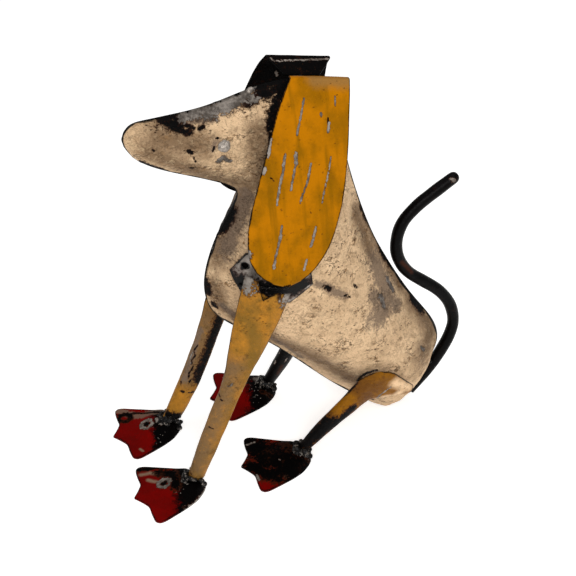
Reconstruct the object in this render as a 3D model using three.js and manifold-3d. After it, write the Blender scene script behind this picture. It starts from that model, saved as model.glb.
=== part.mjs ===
// Scrap metal dog, sitting: two hammered half shells, folded ears, rolled legs, cut paws, a rod tail.
// Millimetres, +Z up. The dog faces -X and its left side is -Y. The seam between the half shells is
// the plane Y = 0, and the ground is Z = 0.
import * as THREE from "three";
import { mergeVertices } from "three/addons/utils/BufferGeometryUtils.js";
import Module from "manifold-3d";

// Driving dimensions.
const DOG_HEIGHT = 333; // ground to the crown seam
const DRAWN_HEIGHT = 333; // height at which the outlines below are drawn
const FIT_GAP = 0.3; // clearance between pieces that touch
const SHELL_WALL = 1.5;
const EAR_SHEET = 1.2;
const EAR_FOLD_RADIUS = 4.5;
const EAR_FLANGE_RISE_DEG = 22;
const EAR_FLANGE_WIDTH = 19.3;
const LEG_WALL = 1.2;
const PAW_SHEET = 2.0;
const PAW_LENGTH = 61;
const PAW_DISH = 8; // rise of the dished heel
const TAIL_DIAMETER = 11.2;
const TAIL_WELD_GAP = 1.6; // between the tail and the rump seam where welds bridge it
const EYE_DIAMETER = 10;
const EYE_HEIGHT = 2.4;
const PLATE_THICKNESS = 1.6;
const PLATE_HOLE_DIAMETER = 5;

// How finely each shape is faceted.
const SHELL_ROWS = 32;
const SHELL_COLUMNS = 12;
const EAR_COLUMNS = 8;
const EAR_LOBE_ROWS = 16;
const EAR_FOLD_ROWS = 6;
const LEG_SIDES = 12;
const TAIL_SIDES = 10;
const TAIL_STEPS = 36;
const TAIL_DOME_STEPS = 3;
const PAW_RINGS = 4;
const PLATE_ROWS = 6;
const EYE_SIDES = 14;
const EYE_STEPS = 4;

const LEFT = -1;
const RIGHT = 1;
const figure = DOG_HEIGHT / DRAWN_HEIGHT; // the free form keeps its proportions

// Colours as painted and worn.
function finish(color, roughness, metalness) {
  return new THREE.MeshStandardMaterial({ color, roughness, metalness });
}
const creamPaint = finish(0xbea07d, 0.62, 0.1);
const blackPaint = finish(0x0c0b0a, 0.5, 0.2);
const yellowPaint = finish(0xc87d00, 0.5, 0.1);
const ochrePaint = finish(0xaf7737, 0.55, 0.15);
const mustardPaint = finish(0x7d5005, 0.55, 0.15);
const redPaint = finish(0x6c0600, 0.5, 0.1);
const bareSteel = finish(0x78706a, 0.45, 0.8);

// Joins an outer and an inner grid of points into one closed sheet. Each grid is a list of rows.
// A wrapped grid closes on itself from its last column to its first.
function sheetFromGrids(outer, inner, wrapped = false) {
  const rows = outer.length;
  const columns = outer[0].length;
  const positions = [];
  for (const grid of [outer, inner]) {
    for (const row of grid) {
      for (const point of row) positions.push(point.x, point.y, point.z);
    }
  }
  const outside = (row, column) => row * columns + (column % columns);
  const inside = (row, column) => rows * columns + outside(row, column);
  const index = [];
  const quad = (a, b, c, d) => index.push(a, b, c, a, c, d);
  const lastColumn = wrapped ? columns : columns - 1;
  for (let row = 0; row < rows - 1; row++) {
    for (let column = 0; column < lastColumn; column++) {
      const next = column + 1;
      quad(outside(row, column), outside(row + 1, column), outside(row + 1, next), outside(row, next));
      quad(inside(row, column), inside(row, next), inside(row + 1, next), inside(row + 1, column));
    }
  }
  for (let column = 0; column < lastColumn; column++) {
    const end = rows - 1;
    quad(outside(0, column), outside(0, column + 1), inside(0, column + 1), inside(0, column));
    quad(outside(end, column), inside(end, column), inside(end, column + 1), outside(end, column + 1));
  }
  if (!wrapped) {
    const end = columns - 1;
    for (let row = 0; row < rows - 1; row++) {
      quad(outside(row, 0), inside(row, 0), inside(row + 1, 0), outside(row + 1, 0));
      quad(outside(row, end), outside(row + 1, end), inside(row + 1, end), inside(row, end));
    }
  }
  const geometry = new THREE.BufferGeometry();
  geometry.setAttribute("position", new THREE.Float32BufferAttribute(positions, 3));
  geometry.setIndex(index);
  return closedGeometry(geometry);
}

// Merges shared points, drops the triangles that collapse, and turns the faces outwards.
function closedGeometry(geometry) {
  geometry.deleteAttribute("normal");
  geometry.deleteAttribute("uv");
  const merged = mergeVertices(geometry, 1e-4);
  const position = merged.getAttribute("position");
  const index = merged.getIndex().array;
  const corner = [new THREE.Vector3(), new THREE.Vector3(), new THREE.Vector3()];
  const kept = [];
  let volume = 0;
  for (let start = 0; start < index.length; start += 3) {
    const [a, b, c] = index.slice(start, start + 3);
    if (a === b || b === c || c === a) continue;
    [a, b, c].forEach((vertex, place) => corner[place].fromBufferAttribute(position, vertex));
    volume += corner[0].dot(corner[1].clone().cross(corner[2]));
    kept.push(a, b, c);
  }
  if (volume < 0) kept.reverse();
  merged.setIndex(kept);
  merged.computeVertexNormals();
  return merged;
}

// Outlines in the seam plane, from the nose to the rump. Each station pairs a point of the upper
// seam with a point of the lower seam and gives the half width of the body between them.
const stations = [
  { upper: [-87.1, 303.5], lower: [-87.1, 303.5], half: 0 },
  { upper: [-85.4, 309.0], lower: [-85.6, 296.6], half: 4.5 },
  { upper: [-80.5, 315.2], lower: [-81.9, 289.4], half: 8 },
  { upper: [-67.0, 316.3], lower: [-72.5, 280.2], half: 11 },
  { upper: [-46.0, 317.8], lower: [-54.0, 270.6], half: 14 },
  { upper: [-24.0, 319.7], lower: [-35.0, 263.2], half: 17 },
  { upper: [-0.5, 326.0], lower: [-18.6, 256.2], half: 20 },
  { upper: [22.0, 331.2], lower: [-7.0, 250.6], half: 22 },
  { upper: [43.0, 333.0], lower: [0.6, 243.6], half: 24 },
  { upper: [64.0, 328.6], lower: [-1.4, 236.0], half: 26 },
  { upper: [79.0, 320.0], lower: [-6.0, 227.0], half: 28 },
  { upper: [85.5, 296.0], lower: [-13.0, 216.0], half: 30 },
  { upper: [89.4, 266.0], lower: [-20.0, 202.0], half: 33 },
  { upper: [95.8, 241.0], lower: [-26.0, 184.0], half: 36 },
  { upper: [104.6, 213.4], lower: [-29.6, 166.0], half: 38.5 },
  { upper: [117.0, 180.5], lower: [-27.6, 147.5], half: 40 },
  { upper: [133.6, 149.4], lower: [-20.5, 132.6], half: 41 },
  { upper: [149.5, 122.4], lower: [-3.9, 117.5], half: 41 },
  { upper: [164.5, 101.4], lower: [20.0, 99.6], half: 40 },
  { upper: [176.0, 84.8], lower: [46.0, 76.0], half: 38 },
  { upper: [182.8, 66.5], lower: [71.0, 50.0], half: 35 },
  { upper: [179.3, 50.0], lower: [95.5, 27.5], half: 31 },
  { upper: [170.8, 38.0], lower: [112.5, 14.0], half: 25 },
  { upper: [155.5, 21.0], lower: [124.0, 4.6], half: 15 },
  { upper: [134.5, 0.0], lower: [134.5, 0.0], half: 0 },
];
const SECTION_POWER = 2.35; // 2 is a lens shape; more is flatter sides
const SEAM_SLANT = 1.35; // wall measured in the seam plane, as a multiple of the wall
const TRIM_LIMIT = 0.3; // most of a short chord that the wall takes, so the tips stay open
const DEPTH_LIMIT = 0.4; // least of a narrow section that is left inside the wall
const TIP_DEPTH = 0.6; // how far the hollow reaches into the pointed ends

const seamCurve = (pick) => new THREE.SplineCurve(stations.map((station) => {
  const [first, second] = pick(station);
  return new THREE.Vector2(first * figure, second * figure);
}));
const upperSeam = seamCurve((station) => station.upper);
const lowerSeam = seamCurve((station) => station.lower);
const widthCurve = seamCurve((station) => [0, station.half]);

// A point of the shell on the given side: along runs from the nose to the rump, across from the
// upper seam to the lower one, and inset goes inwards from the outer face.
function shellPoint(side, along, across, inset = 0) {
  const upper = upperSeam.getPoint(along);
  const lower = lowerSeam.getPoint(along);
  const chord = lower.clone().sub(upper);
  const length = chord.length();
  const trim = length > 0 ? Math.min(inset * SEAM_SLANT, TRIM_LIMIT * length) / length : 0;
  const half = Math.max(widthCurve.getPoint(along).y, 0);
  const depth = Math.max(half - inset, DEPTH_LIMIT * half);
  const place = upper.addScaledVector(chord, trim + across * (1 - 2 * trim));
  const bulge = depth * (1 - Math.abs(2 * across - 1) ** SECTION_POWER);
  return new THREE.Vector3(place.x, side * (FIT_GAP / 2 + bulge), Math.max(place.y, 0));
}

// One half shell: an outer and an inner skin, closed to a point at the nose and at the rump.
function halfShell(side) {
  const skin = (inset) => {
    const grid = [];
    for (let row = 0; row <= SHELL_ROWS; row++) {
      const line = [];
      for (let column = 0; column <= SHELL_COLUMNS; column++) {
        line.push(shellPoint(side, row / SHELL_ROWS, column / SHELL_COLUMNS, inset));
      }
      grid.push(line);
    }
    return grid;
  };
  const outer = skin(0);
  const inner = skin(SHELL_WALL);
  for (const [end, next] of [[0, 1], [SHELL_ROWS, SHELL_ROWS - 1]]) {
    const upper = inner[next][0];
    const lower = inner[next][SHELL_COLUMNS];
    const middle = upper.clone().lerp(lower, 0.5);
    const tip = outer[end][0].clone().lerp(middle, TIP_DEPTH);
    inner[end] = inner[end].map(() => tip);
  }
  return sheetFromGrids(outer, inner);
}

// How far the outer face of the body stands from the seam plane at a place seen from the side.
function bodyHalfWidthAt(x, z) {
  const place = new THREE.Vector2(x, z);
  const sideOfChord = (along) => {
    const upper = upperSeam.getPoint(along);
    const chord = lowerSeam.getPoint(along).sub(upper);
    return chord.cross(place.clone().sub(upper));
  };
  let low = 0.02;
  let high = 0.98;
  const lowSign = Math.sign(sideOfChord(low));
  for (let step = 0; step < 40; step++) {
    const middle = (low + high) / 2;
    if (Math.sign(sideOfChord(middle)) === lowSign) low = middle;
    else high = middle;
  }
  const upper = upperSeam.getPoint(low);
  const lower = lowerSeam.getPoint(low);
  const across = place.distanceTo(upper) / lower.distanceTo(upper);
  return across > 1 ? 0 : Math.abs(shellPoint(RIGHT, low, across).y);
}

// Outline of an ear lobe laid flat: [x, distance down from the top of the fold]. Both edges run from
// the fold to the lowest point of the lobe.
const earFrontEdge = [[36, 0], [27.4, 15.5], [19.5, 35], [12.4, 54.3], [4.1, 77.1], [-4.6, 100], [-9.8, 122],
  [-9.4, 141], [-1.5, 152.4], [8, 158], [18, 159.6]];
const earRearEdge = [[83, 0], [80.6, 20], [78.2, 42], [75.6, 62], [70.5, 88], [64.5, 107], [57, 125],
  [47.5, 139.5], [37, 150.3], [28, 156], [18, 159.6]];
const earFlangeEdge = [44, 71]; // front and rear ends of the edge on the seam
const EAR_TILT = 0.165; // the fold line drops this much for each millimetre towards the rear
const EAR_BOW = 2.0; // the lobe is hollow across its width by this much
const EAR_BOW_FROM = 60; // and reaches it this far below the fold

// Height of the flange's inner edge above the ground at the front of the ear: just clear of the seam.
function flangeBase() {
  let top = 0;
  for (let along = 0; along <= 1; along += 0.005) {
    const seam = upperSeam.getPoint(along);
    top = Math.max(top, seam.y + EAR_TILT * (seam.x - earFrontEdge[0][0] * figure));
  }
  return top + FIT_GAP + EAR_SHEET / 2 / Math.cos(THREE.MathUtils.degToRad(EAR_FLANGE_RISE_DEG));
}

// The ear's middle line seen from the front: flange up and out, fold, then the lobe down and out.
// Gives the place and the outward normal at a distance along the sheet.
function earLine(distance, flareDeg) {
  const rise = THREE.MathUtils.degToRad(EAR_FLANGE_RISE_DEG);
  const flare = THREE.MathUtils.degToRad(flareDeg);
  const turn = Math.PI / 2 + rise - flare;
  const foldStart = EAR_FLANGE_WIDTH;
  const foldLength = EAR_FOLD_RADIUS * turn;
  const base = new THREE.Vector2(FIT_GAP + EAR_SHEET / 2, flangeBase());
  const place = (vector, reach) => base.clone().addScaledVector(vector, reach);
  const flangeWay = new THREE.Vector2(Math.cos(rise), Math.sin(rise));
  const flangeNormal = new THREE.Vector2(-Math.sin(rise), Math.cos(rise));
  if (distance <= foldStart) {
    return { place: place(flangeWay, distance), normal: flangeNormal, foldStart, foldLength };
  }
  const centre = place(flangeWay, foldStart).addScaledVector(flangeNormal, -EAR_FOLD_RADIUS);
  const angle = Math.PI / 2 + rise - Math.min(distance - foldStart, foldLength) / EAR_FOLD_RADIUS;
  const normal = new THREE.Vector2(Math.cos(angle), Math.sin(angle));
  const point = centre.addScaledVector(normal, EAR_FOLD_RADIUS);
  const beyond = Math.max(distance - foldStart - foldLength, 0);
  point.addScaledVector(new THREE.Vector2(Math.sin(flare), -Math.cos(flare)), beyond);
  return { place: point, normal, foldStart, foldLength };
}

// The two ears are one pattern, cut and bent by hand: each leans out and swings back by its own angle.
const ears = {
  left_ear: { side: LEFT, flareDeg: 16.3, swingDeg: 0, forward: 0, longer: 0 },
  right_ear: { side: RIGHT, flareDeg: 21, swingDeg: 7.5, forward: 3.5, longer: 4 },
};

function ear({ side, flareDeg, swingDeg, forward, longer }) {
  const swing = Math.tan(THREE.MathUtils.degToRad(swingDeg));
  const edge = (points, extra) => new THREE.SplineCurve(points.map(([x, drop]) => (
    new THREE.Vector2((x - forward + extra + swing * drop) * figure, drop * figure))));
  const front = edge(earFrontEdge, 0);
  const rear = edge(earRearEdge, longer);
  const { foldStart, foldLength } = earLine(0, flareDeg);
  const foldTop = foldStart + foldLength / 2;
  const seamEnds = earFlangeEdge.map((x) => new THREE.Vector2((x - forward) * figure, 0));
  const rows = [seamEnds];
  for (let row = 0; row < EAR_FOLD_ROWS; row++) {
    const distance = foldStart + (foldLength / 2) * (row / (EAR_FOLD_ROWS - 1));
    rows.push([front, rear].map((side) => new THREE.Vector2(side.getPoint(0).x, distance)));
  }
  for (let row = 1; row <= EAR_LOBE_ROWS; row++) {
    const along = row / EAR_LOBE_ROWS;
    const shift = new THREE.Vector2(0, foldTop);
    rows.push([front.getPoint(along).add(shift), rear.getPoint(along).add(shift)]);
  }
  const skin = (offset) => rows.map(([first, last]) => {
    const line = [];
    for (let column = 0; column <= EAR_COLUMNS; column++) {
      const across = column / EAR_COLUMNS;
      const flat = first.clone().lerp(last, across);
      const { place, normal } = earLine(flat.y, flareDeg);
      const bowed = Math.min(Math.max(flat.y - foldTop, 0) / EAR_BOW_FROM, 1);
      const hollow = EAR_BOW * bowed * (4 * across * (1 - across) - 0.5);
      const point = place.addScaledVector(normal, offset + hollow);
      const drop = EAR_TILT * (flat.x - earFrontEdge[0][0] * figure);
      line.push(new THREE.Vector3(flat.x, side * point.x, point.y - drop));
    }
    return line;
  });
  return sheetFromGrids(skin(EAR_SHEET / 2), skin(-EAR_SHEET / 2));
}

// Outline of a shoulder plate seen from the side: [x, z] along its upper and its lower edge.
const plateUpperEdge = [[-12.8, 185.2], [-1.5, 202], [12, 207], [32, 204], [46.4, 191]];
const plateLowerEdge = [[-11.6, 179.8], [-6, 167], [9, 160.5], [29.5, 159.5], [48.5, 173]];
const plateHoleAt = [-2.6, 192.2];
const plateSetBack = { [LEFT]: 0, [RIGHT]: 8 }; // the right one sits further to the rear
const PLATE_STANDOFF = 2 * FIT_GAP;
const PLATE_HOLE_REACH = 8; // the drill passes right through the slanted plate

// A plate beaten to the curve of the shell, with a round hole through it.
function shoulderPlate(side, wasm) {
  const steps = 2;
  const back = new THREE.Vector2(plateSetBack[side] * figure, 0);
  const edge = (points) => {
    const line = [];
    for (let part = 0; part < points.length - 1; part++) {
      for (let step = 0; step < steps; step++) {
        const first = new THREE.Vector2(...points[part]).multiplyScalar(figure);
        const last = new THREE.Vector2(...points[part + 1]).multiplyScalar(figure);
        line.push(first.lerp(last, step / steps).add(back));
      }
    }
    line.push(new THREE.Vector2(...points[points.length - 1]).multiplyScalar(figure).add(back));
    return line;
  };
  const upper = edge(plateUpperEdge);
  const lower = edge(plateLowerEdge);
  const skin = (standoff) => {
    const grid = [];
    for (let row = 0; row <= PLATE_ROWS; row++) {
      grid.push(upper.map((corner, column) => {
        const flat = corner.clone().lerp(lower[column], row / PLATE_ROWS);
        return new THREE.Vector3(flat.x, side * (bodyHalfWidthAt(flat.x, flat.y) + standoff), flat.y);
      }));
    }
    return grid;
  };
  const plate = sheetFromGrids(skin(PLATE_STANDOFF + PLATE_THICKNESS), skin(PLATE_STANDOFF));
  const [holeX, holeZ] = new THREE.Vector2(...plateHoleAt).multiplyScalar(figure).add(back).toArray();
  const reach = PLATE_HOLE_REACH * PLATE_THICKNESS;
  const radius = PLATE_HOLE_DIAMETER / 2;
  const drill = new THREE.CylinderGeometry(radius, radius, reach, EYE_SIDES);
  drill.translate(holeX, side * bodyHalfWidthAt(holeX, holeZ), holeZ);
  return subtract(wasm, plate, drill);
}

function toManifold(wasm, geometry) {
  const closed = closedGeometry(geometry);
  const vertProperties = Float32Array.from(closed.getAttribute("position").array);
  const triVerts = Uint32Array.from(closed.getIndex().array);
  return new wasm.Manifold(new wasm.Mesh({ numProp: 3, vertProperties, triVerts }));
}

function subtract(wasm, body, tool) {
  const mesh = toManifold(wasm, body).subtract(toManifold(wasm, tool)).getMesh();
  const geometry = new THREE.BufferGeometry();
  geometry.setAttribute("position", new THREE.Float32BufferAttribute(mesh.vertProperties, 3));
  geometry.setIndex(Array.from(mesh.triVerts));
  return closedGeometry(geometry);
}

// Paws. The outline is half of a paw, from the middle of the heel to the tip of the middle toe, with
// the toes towards -X and the heel at the origin.
const pawHalfOutline = [[0, 0], [-1.6, 6], [-5, 11.5], [-12, 19], [-22, 25], [-33, 30], [-44, 34.8],
  [-48.5, 35.2], [-51.5, 32.5], [-52, 24], [-51.6, 13.5], [-56.5, 5.5], [-60.6, 0]];
const PAW_DRAWN_LENGTH = 60.6;
const pawScale = PAW_LENGTH / PAW_DRAWN_LENGTH;
const DISH_CENTRE = -15 * pawScale;
const DISH_REACH = 30 * pawScale; // towards the toes, which stay flat
const DISH_SPREAD = 27 * pawScale; // to either side
const DISH_HEELWARD = 14.7 * pawScale; // towards the heel
const ankleAt = -7.5 * pawScale;

const paws = {
  left_front_paw: { side: LEFT, x: -47.3, out: 47.5, turnDeg: 0 },
  right_front_paw: { side: RIGHT, x: -44.8, out: 36.1, turnDeg: 0 },
  left_hind_paw: { side: LEFT, x: 47.3, out: 44.9, turnDeg: -5.5 },
  right_hind_paw: { side: RIGHT, x: 49.8, out: 54.3, turnDeg: -5.5 },
};

// Height of the dished sheet above the flat toes, at a place in the paw's own frame.
function dishAt(x, y) {
  const away = new THREE.Vector2(x - DISH_CENTRE, y);
  const distance = away.length();
  if (distance < 1e-6) return PAW_DISH;
  const toward = Math.max(-away.x / distance, 0);
  const along = away.x > 0 ? DISH_HEELWARD : DISH_REACH;
  const reach = distance / Math.hypot(away.x / along, away.y / DISH_SPREAD);
  const share = Math.min(distance / reach, 1);
  return PAW_DISH * (1 - share ** (3 - toward)) ** (1 + toward);
}

function paw() {
  const half = pawHalfOutline.map(([x, y]) => new THREE.Vector2(x, y).multiplyScalar(pawScale));
  const mirrored = half.slice(1, -1).reverse().map((point) => new THREE.Vector2(point.x, -point.y));
  const outline = [...half, ...mirrored];
  const centre = new THREE.Vector2(DISH_CENTRE, 0);
  const skin = (lift) => {
    const grid = [];
    for (let ring = 0; ring <= PAW_RINGS; ring++) {
      grid.push(outline.map((corner) => {
        const flat = centre.clone().lerp(corner, ring / PAW_RINGS);
        const rim = ring === PAW_RINGS ? 0 : dishAt(flat.x, flat.y);
        return new THREE.Vector3(flat.x, flat.y, lift + rim);
      }));
    }
    return grid;
  };
  return sheetFromGrids(skin(PAW_SHEET), skin(0), true);
}

function placePaw(mesh, { side, x, out, turnDeg }) {
  mesh.position.set(x * figure, side * out * figure, 0);
  mesh.rotation.z = THREE.MathUtils.degToRad(turnDeg);
}

// Where the leg meets its paw, on top of the dished heel.
function ankle({ side, x, out, turnDeg }) {
  const turn = THREE.MathUtils.degToRad(turnDeg);
  const way = new THREE.Vector2(Math.cos(turn), Math.sin(turn)).multiplyScalar(ankleAt);
  const height = PAW_SHEET + PAW_DISH + FIT_GAP;
  return new THREE.Vector3(x * figure + way.x, side * out * figure + way.y, height);
}

// Legs. Each section above the ankle is [x, z, out from the seam plane, width, depth]. A section
// with no distance out lies against the shell, or against the plate on it.
const legs = {
  left_front_leg: {
    side: LEFT, paw: "left_front_paw", paint: ochrePaint,
    behind: PLATE_STANDOFF + PLATE_THICKNESS, ankle: [16.2, 13],
    sections: [[-42, 43.8, 46.6, 18.4, 13.5], [-30.5, 71.2, 45.8, 18.8, 13.5], [-20.6, 92.3, 45, 19.8, 13],
      [-16.9, 103, 44.7, 22.4, 13], [-7.2, 129.6, 43.9, 29.5, 13], [0, 150, 43.3, 34.5, 13],
      [7, 170.5, null, 38.5, 13]],
    tabs: [{ at: -0.75, span: 0.3, lift: 14 }, { at: 0.75, span: 0.3, lift: 10 }],
  },
  right_front_leg: {
    side: RIGHT, paw: "right_front_paw", paint: ochrePaint,
    behind: PLATE_STANDOFF + PLATE_THICKNESS, ankle: [20, 13],
    sections: [[-36.4, 39.8, 37.5, 20, 13.5], [-25.5, 66, 38, 19.8, 13.5], [-19.5, 81.1, 38, 20, 13],
      [-12, 102, 39, 22, 13], [-2, 129.6, 41, 29, 13], [3.5, 150, 42, 34, 13], [9, 170.5, null, 38, 13]],
    tabs: [{ at: -0.75, span: 0.3, lift: 14 }, { at: 0.75, span: 0.3, lift: 10 }],
  },
  left_hind_leg: {
    side: LEFT, paw: "left_hind_paw", paint: mustardPaint, behind: FIT_GAP, ankle: [13.6, 12.5],
    sections: [[64.2, 33.2, 43.2, 16.5, 12], [85, 45.5, 41, 20, 11.5], [97, 54, null, 31, 10.5],
      [107, 57.5, null, 41, 9.5], [117.3, 54.5, null, 33, 8.5], [127.5, 49, null, 21.5, 7.5],
      [141, 43, null, 9, 5.5]],
    tabs: [],
  },
  right_hind_leg: {
    side: RIGHT, paw: "right_hind_paw", paint: blackPaint, behind: FIT_GAP, ankle: [14, 12.5],
    sections: [[52.5, 38.5, 44.8, 15.5, 12], [61, 66, 36.5, 17.5, 11.5], [66, 84, null, 24, 10.5],
      [70, 97, null, 33, 9.5], [74, 108, null, 27, 8.5], [78, 118, null, 19, 7.5], [82, 128, null, 8, 5.5]],
    tabs: [],
  },
};
const TAB_WRAP = 0.1; // a tab turns this little round the edge of its leg
const LEG_CLEARANCE = 2 * FIT_GAP;
const seatShares = [-0.45, -0.3, -0.15, 0, 0.15, 0.3, 0.45]; // of a section's width
const SEAT_REACH = 6; // a section clears the shell this far before and after it too

// How a section of a leg lies on the shell behind it: the slope of the shell across the section, and
// the distance out at which the section just clears it.
function seat(centre, broad, width, depth, behind) {
  const way = new THREE.Vector3(-broad.z, 0, broad.x);
  const samples = seatShares.map((share) => {
    const offset = share * width;
    const outs = [-SEAT_REACH, 0, SEAT_REACH].map((ahead) => {
      const place = centre.clone().addScaledVector(broad, offset).addScaledVector(way, ahead);
      return bodyHalfWidthAt(place.x, place.z);
    });
    const out = Math.max(...outs) + behind + LEG_CLEARANCE;
    return { offset, out, half: (depth / 2) * Math.sqrt(1 - (2 * share) ** 2) };
  });
  const first = samples[0];
  const last = samples[samples.length - 1];
  const slope = (last.out - first.out) / (last.offset - first.offset);
  const clear = Math.max(...samples.map(({ offset, out, half }) => out - slope * offset + half));
  return { slope, clear };
}

function leg({ side, paw: pawName, behind, ankle: [ankleWidth, ankleDepth], sections, tabs }) {
  const path = [{ centre: ankle(paws[pawName]), width: ankleWidth, depth: ankleDepth }];
  for (const [x, z, out, width, depth] of sections) {
    const centre = new THREE.Vector3(x * figure, side * (out ?? 0) * figure, z * figure);
    path.push({ centre, width, depth, out });
  }
  const last = path.length - 1;
  const wayAt = (place) => {
    const from = path[Math.max(place - 1, 0)].centre;
    return path[Math.min(place + 1, last)].centre.clone().sub(from);
  };
  const firstSeated = path.findIndex((section) => section.out === null);
  path.forEach((section, place) => {
    const { centre, width, depth, out } = section;
    section.broad = new THREE.Vector3(0, 1, 0).cross(wayAt(place)).setY(0).normalize();
    if (place === 0) return;
    const lean = out === null ? 1 : (place / firstSeated) ** 2;
    const { slope, clear } = seat(centre, section.broad, width, depth, behind);
    section.broad.y = side * slope * lean;
    section.broad.normalize();
    centre.y = side * (out === null ? clear : Math.max(out * figure, clear * lean));
  });
  const skin = (inset) => path.map(({ centre, width, depth, broad }, place) => {
    const way = wayAt(place).normalize();
    const thick = way.clone().cross(broad).normalize();
    thick.multiplyScalar(side * Math.sign(thick.y));
    const ring = [];
    for (let corner = 0; corner < LEG_SIDES; corner++) {
      const angle = (2 * Math.PI * corner) / LEG_SIDES;
      const point = centre.clone();
      point.addScaledVector(broad, (width / 2 - inset) * Math.cos(angle));
      point.addScaledVector(thick, (depth / 2 - inset) * Math.sin(angle));
      const outside = Math.sin(angle) > -TAB_WRAP;
      const tab = tabs.find(({ at, span }) => outside && Math.abs(Math.cos(angle) - at) < span);
      if (tab && place === last) point.addScaledVector(way, tab.lift);
      if (place === 0) point.z = centre.z;
      ring.push(point);
    }
    return ring;
  });
  return sheetFromGrids(skin(0), skin(LEG_WALL), true);
}

// Tail: a round rod that lies along the seam of the rump and curls up behind the back.
const tailFree = [[196.2, 73], [195.1, 86.7], [189.2, 101.2], [179.4, 113.7], [165.8, 125.3], [152.8, 135.3],
  [143.8, 146.8], [138.6, 159.3], [138, 173.7], [142.4, 187.8], [151.6, 198.3], [163, 207.4], [175, 214.8],
  [190.5, 224.6]];
const TAIL_HUG_FROM = 0.965;
const TAIL_HUG_TO = 0.87;
const TAIL_HUG_POINTS = 3;

function tail() {
  const radius = TAIL_DIAMETER / 2;
  const points = [];
  for (let step = 0; step < TAIL_HUG_POINTS; step++) {
    const along = THREE.MathUtils.lerp(TAIL_HUG_FROM, TAIL_HUG_TO, step / (TAIL_HUG_POINTS - 1));
    const seam = upperSeam.getPoint(along);
    const way = upperSeam.getTangent(along);
    const outward = new THREE.Vector2(-way.y, way.x);
    const place = seam.addScaledVector(outward, radius + TAIL_WELD_GAP);
    points.push(new THREE.Vector3(place.x, 0, Math.max(place.y, radius)));
  }
  for (const [x, z] of tailFree) points.push(new THREE.Vector3(x * figure, 0, z * figure));
  const curve = new THREE.CatmullRomCurve3(points, false, "centripetal");
  const length = curve.getLength();
  const stops = [{ distance: 0, share: 0 }];
  for (let step = 0; step <= TAIL_STEPS; step++) {
    stops.push({ distance: ((length - radius) * step) / TAIL_STEPS, share: 1 });
  }
  for (let step = 1; step <= TAIL_DOME_STEPS; step++) {
    const angle = ((Math.PI / 2) * step) / TAIL_DOME_STEPS;
    stops.push({ distance: length - radius * (1 - Math.sin(angle)), share: Math.cos(angle) });
  }
  stops[stops.length - 1].share = 0;
  const rings = stops.map(({ distance, share }) => {
    const centre = curve.getPointAt(distance / length);
    const way = curve.getTangentAt(distance / length);
    const outward = way.cross(new THREE.Vector3(0, 1, 0));
    const ring = [];
    for (let corner = 0; corner < TAIL_SIDES; corner++) {
      const angle = (2 * Math.PI * corner) / TAIL_SIDES;
      const point = centre.clone().addScaledVector(outward, radius * share * Math.cos(angle));
      point.y += radius * share * Math.sin(angle);
      ring.push(point);
    }
    return ring;
  });
  return solidFromRings(rings);
}

// Closes a stack of rings, whose first and last rings are points, into one solid.
function solidFromRings(rings) {
  const sides = rings[0].length;
  const positions = rings.flat().flatMap((point) => [point.x, point.y, point.z]);
  const index = [];
  for (let ring = 0; ring < rings.length - 1; ring++) {
    for (let corner = 0; corner < sides; corner++) {
      const next = (corner + 1) % sides;
      const near = ring * sides;
      const far = near + sides;
      index.push(near + corner, near + next, far + next, near + corner, far + next, far + corner);
    }
  }
  const geometry = new THREE.BufferGeometry();
  geometry.setAttribute("position", new THREE.Float32BufferAttribute(positions, 3));
  geometry.setIndex(index);
  return closedGeometry(geometry);
}

// Eyes: a low round head of metal on the cheek.
const eyeAt = [-14.7, 294.8];
const EYE_SEAT_REACH = 2; // the cheek's slope is taken over this distance

function eye() {
  const profile = [new THREE.Vector2(0, 0)];
  for (let step = 0; step <= EYE_STEPS; step++) {
    const angle = (Math.PI / 2) * (step / EYE_STEPS);
    profile.push(new THREE.Vector2((EYE_DIAMETER / 2) * Math.cos(angle), EYE_HEIGHT * Math.sin(angle)));
  }
  profile[profile.length - 1].x = 0;
  return closedGeometry(new THREE.LatheGeometry(profile, EYE_SIDES));
}

function placeEye(mesh, side) {
  const [x, z] = eyeAt.map((value) => value * figure);
  const surface = (dx, dz) => new THREE.Vector3(x + dx, side * bodyHalfWidthAt(x + dx, z + dz), z + dz);
  const along = surface(EYE_SEAT_REACH, 0).sub(surface(-EYE_SEAT_REACH, 0));
  const upward = surface(0, EYE_SEAT_REACH).sub(surface(0, -EYE_SEAT_REACH));
  const normal = along.cross(upward).normalize();
  if (normal.y * side < 0) normal.negate();
  mesh.quaternion.setFromUnitVectors(new THREE.Vector3(0, 1, 0), normal);
  mesh.position.copy(surface(0, 0)).addScaledVector(normal, FIT_GAP);
}

const wasm = await Module();
wasm.setup();

const dog = new THREE.Group();
function addPiece(name, geometry, material) {
  const mesh = new THREE.Mesh(geometry, material);
  mesh.name = name;
  dog.add(mesh);
  return mesh;
}

for (const [side, word] of [[LEFT, "left"], [RIGHT, "right"]]) {
  addPiece(`${word}_half_shell`, halfShell(side), creamPaint);
  addPiece(`${word}_ear`, ear(ears[`${word}_ear`]), yellowPaint);
  addPiece(`${word}_shoulder_plate`, shoulderPlate(side, wasm), bareSteel);
  placeEye(addPiece(`${word}_eye`, eye(), bareSteel), side);
}
for (const [name, spec] of Object.entries(legs)) addPiece(name, leg(spec), spec.paint);
for (const [name, place] of Object.entries(paws)) placePaw(addPiece(name, paw(), redPaint), place);
addPiece("tail", tail(), blackPaint);

// The origin is under the middle of the dog, on the ground.
const box = new THREE.Box3().setFromObject(dog, true);
dog.position.set(-(box.min.x + box.max.x) / 2, -(box.min.y + box.max.y) / 2, -box.min.z);
export default dog;
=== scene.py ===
"""Surfaces, welds and worn paint of a sitting dog made of scrap sheet, with its stage and camera."""

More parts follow.
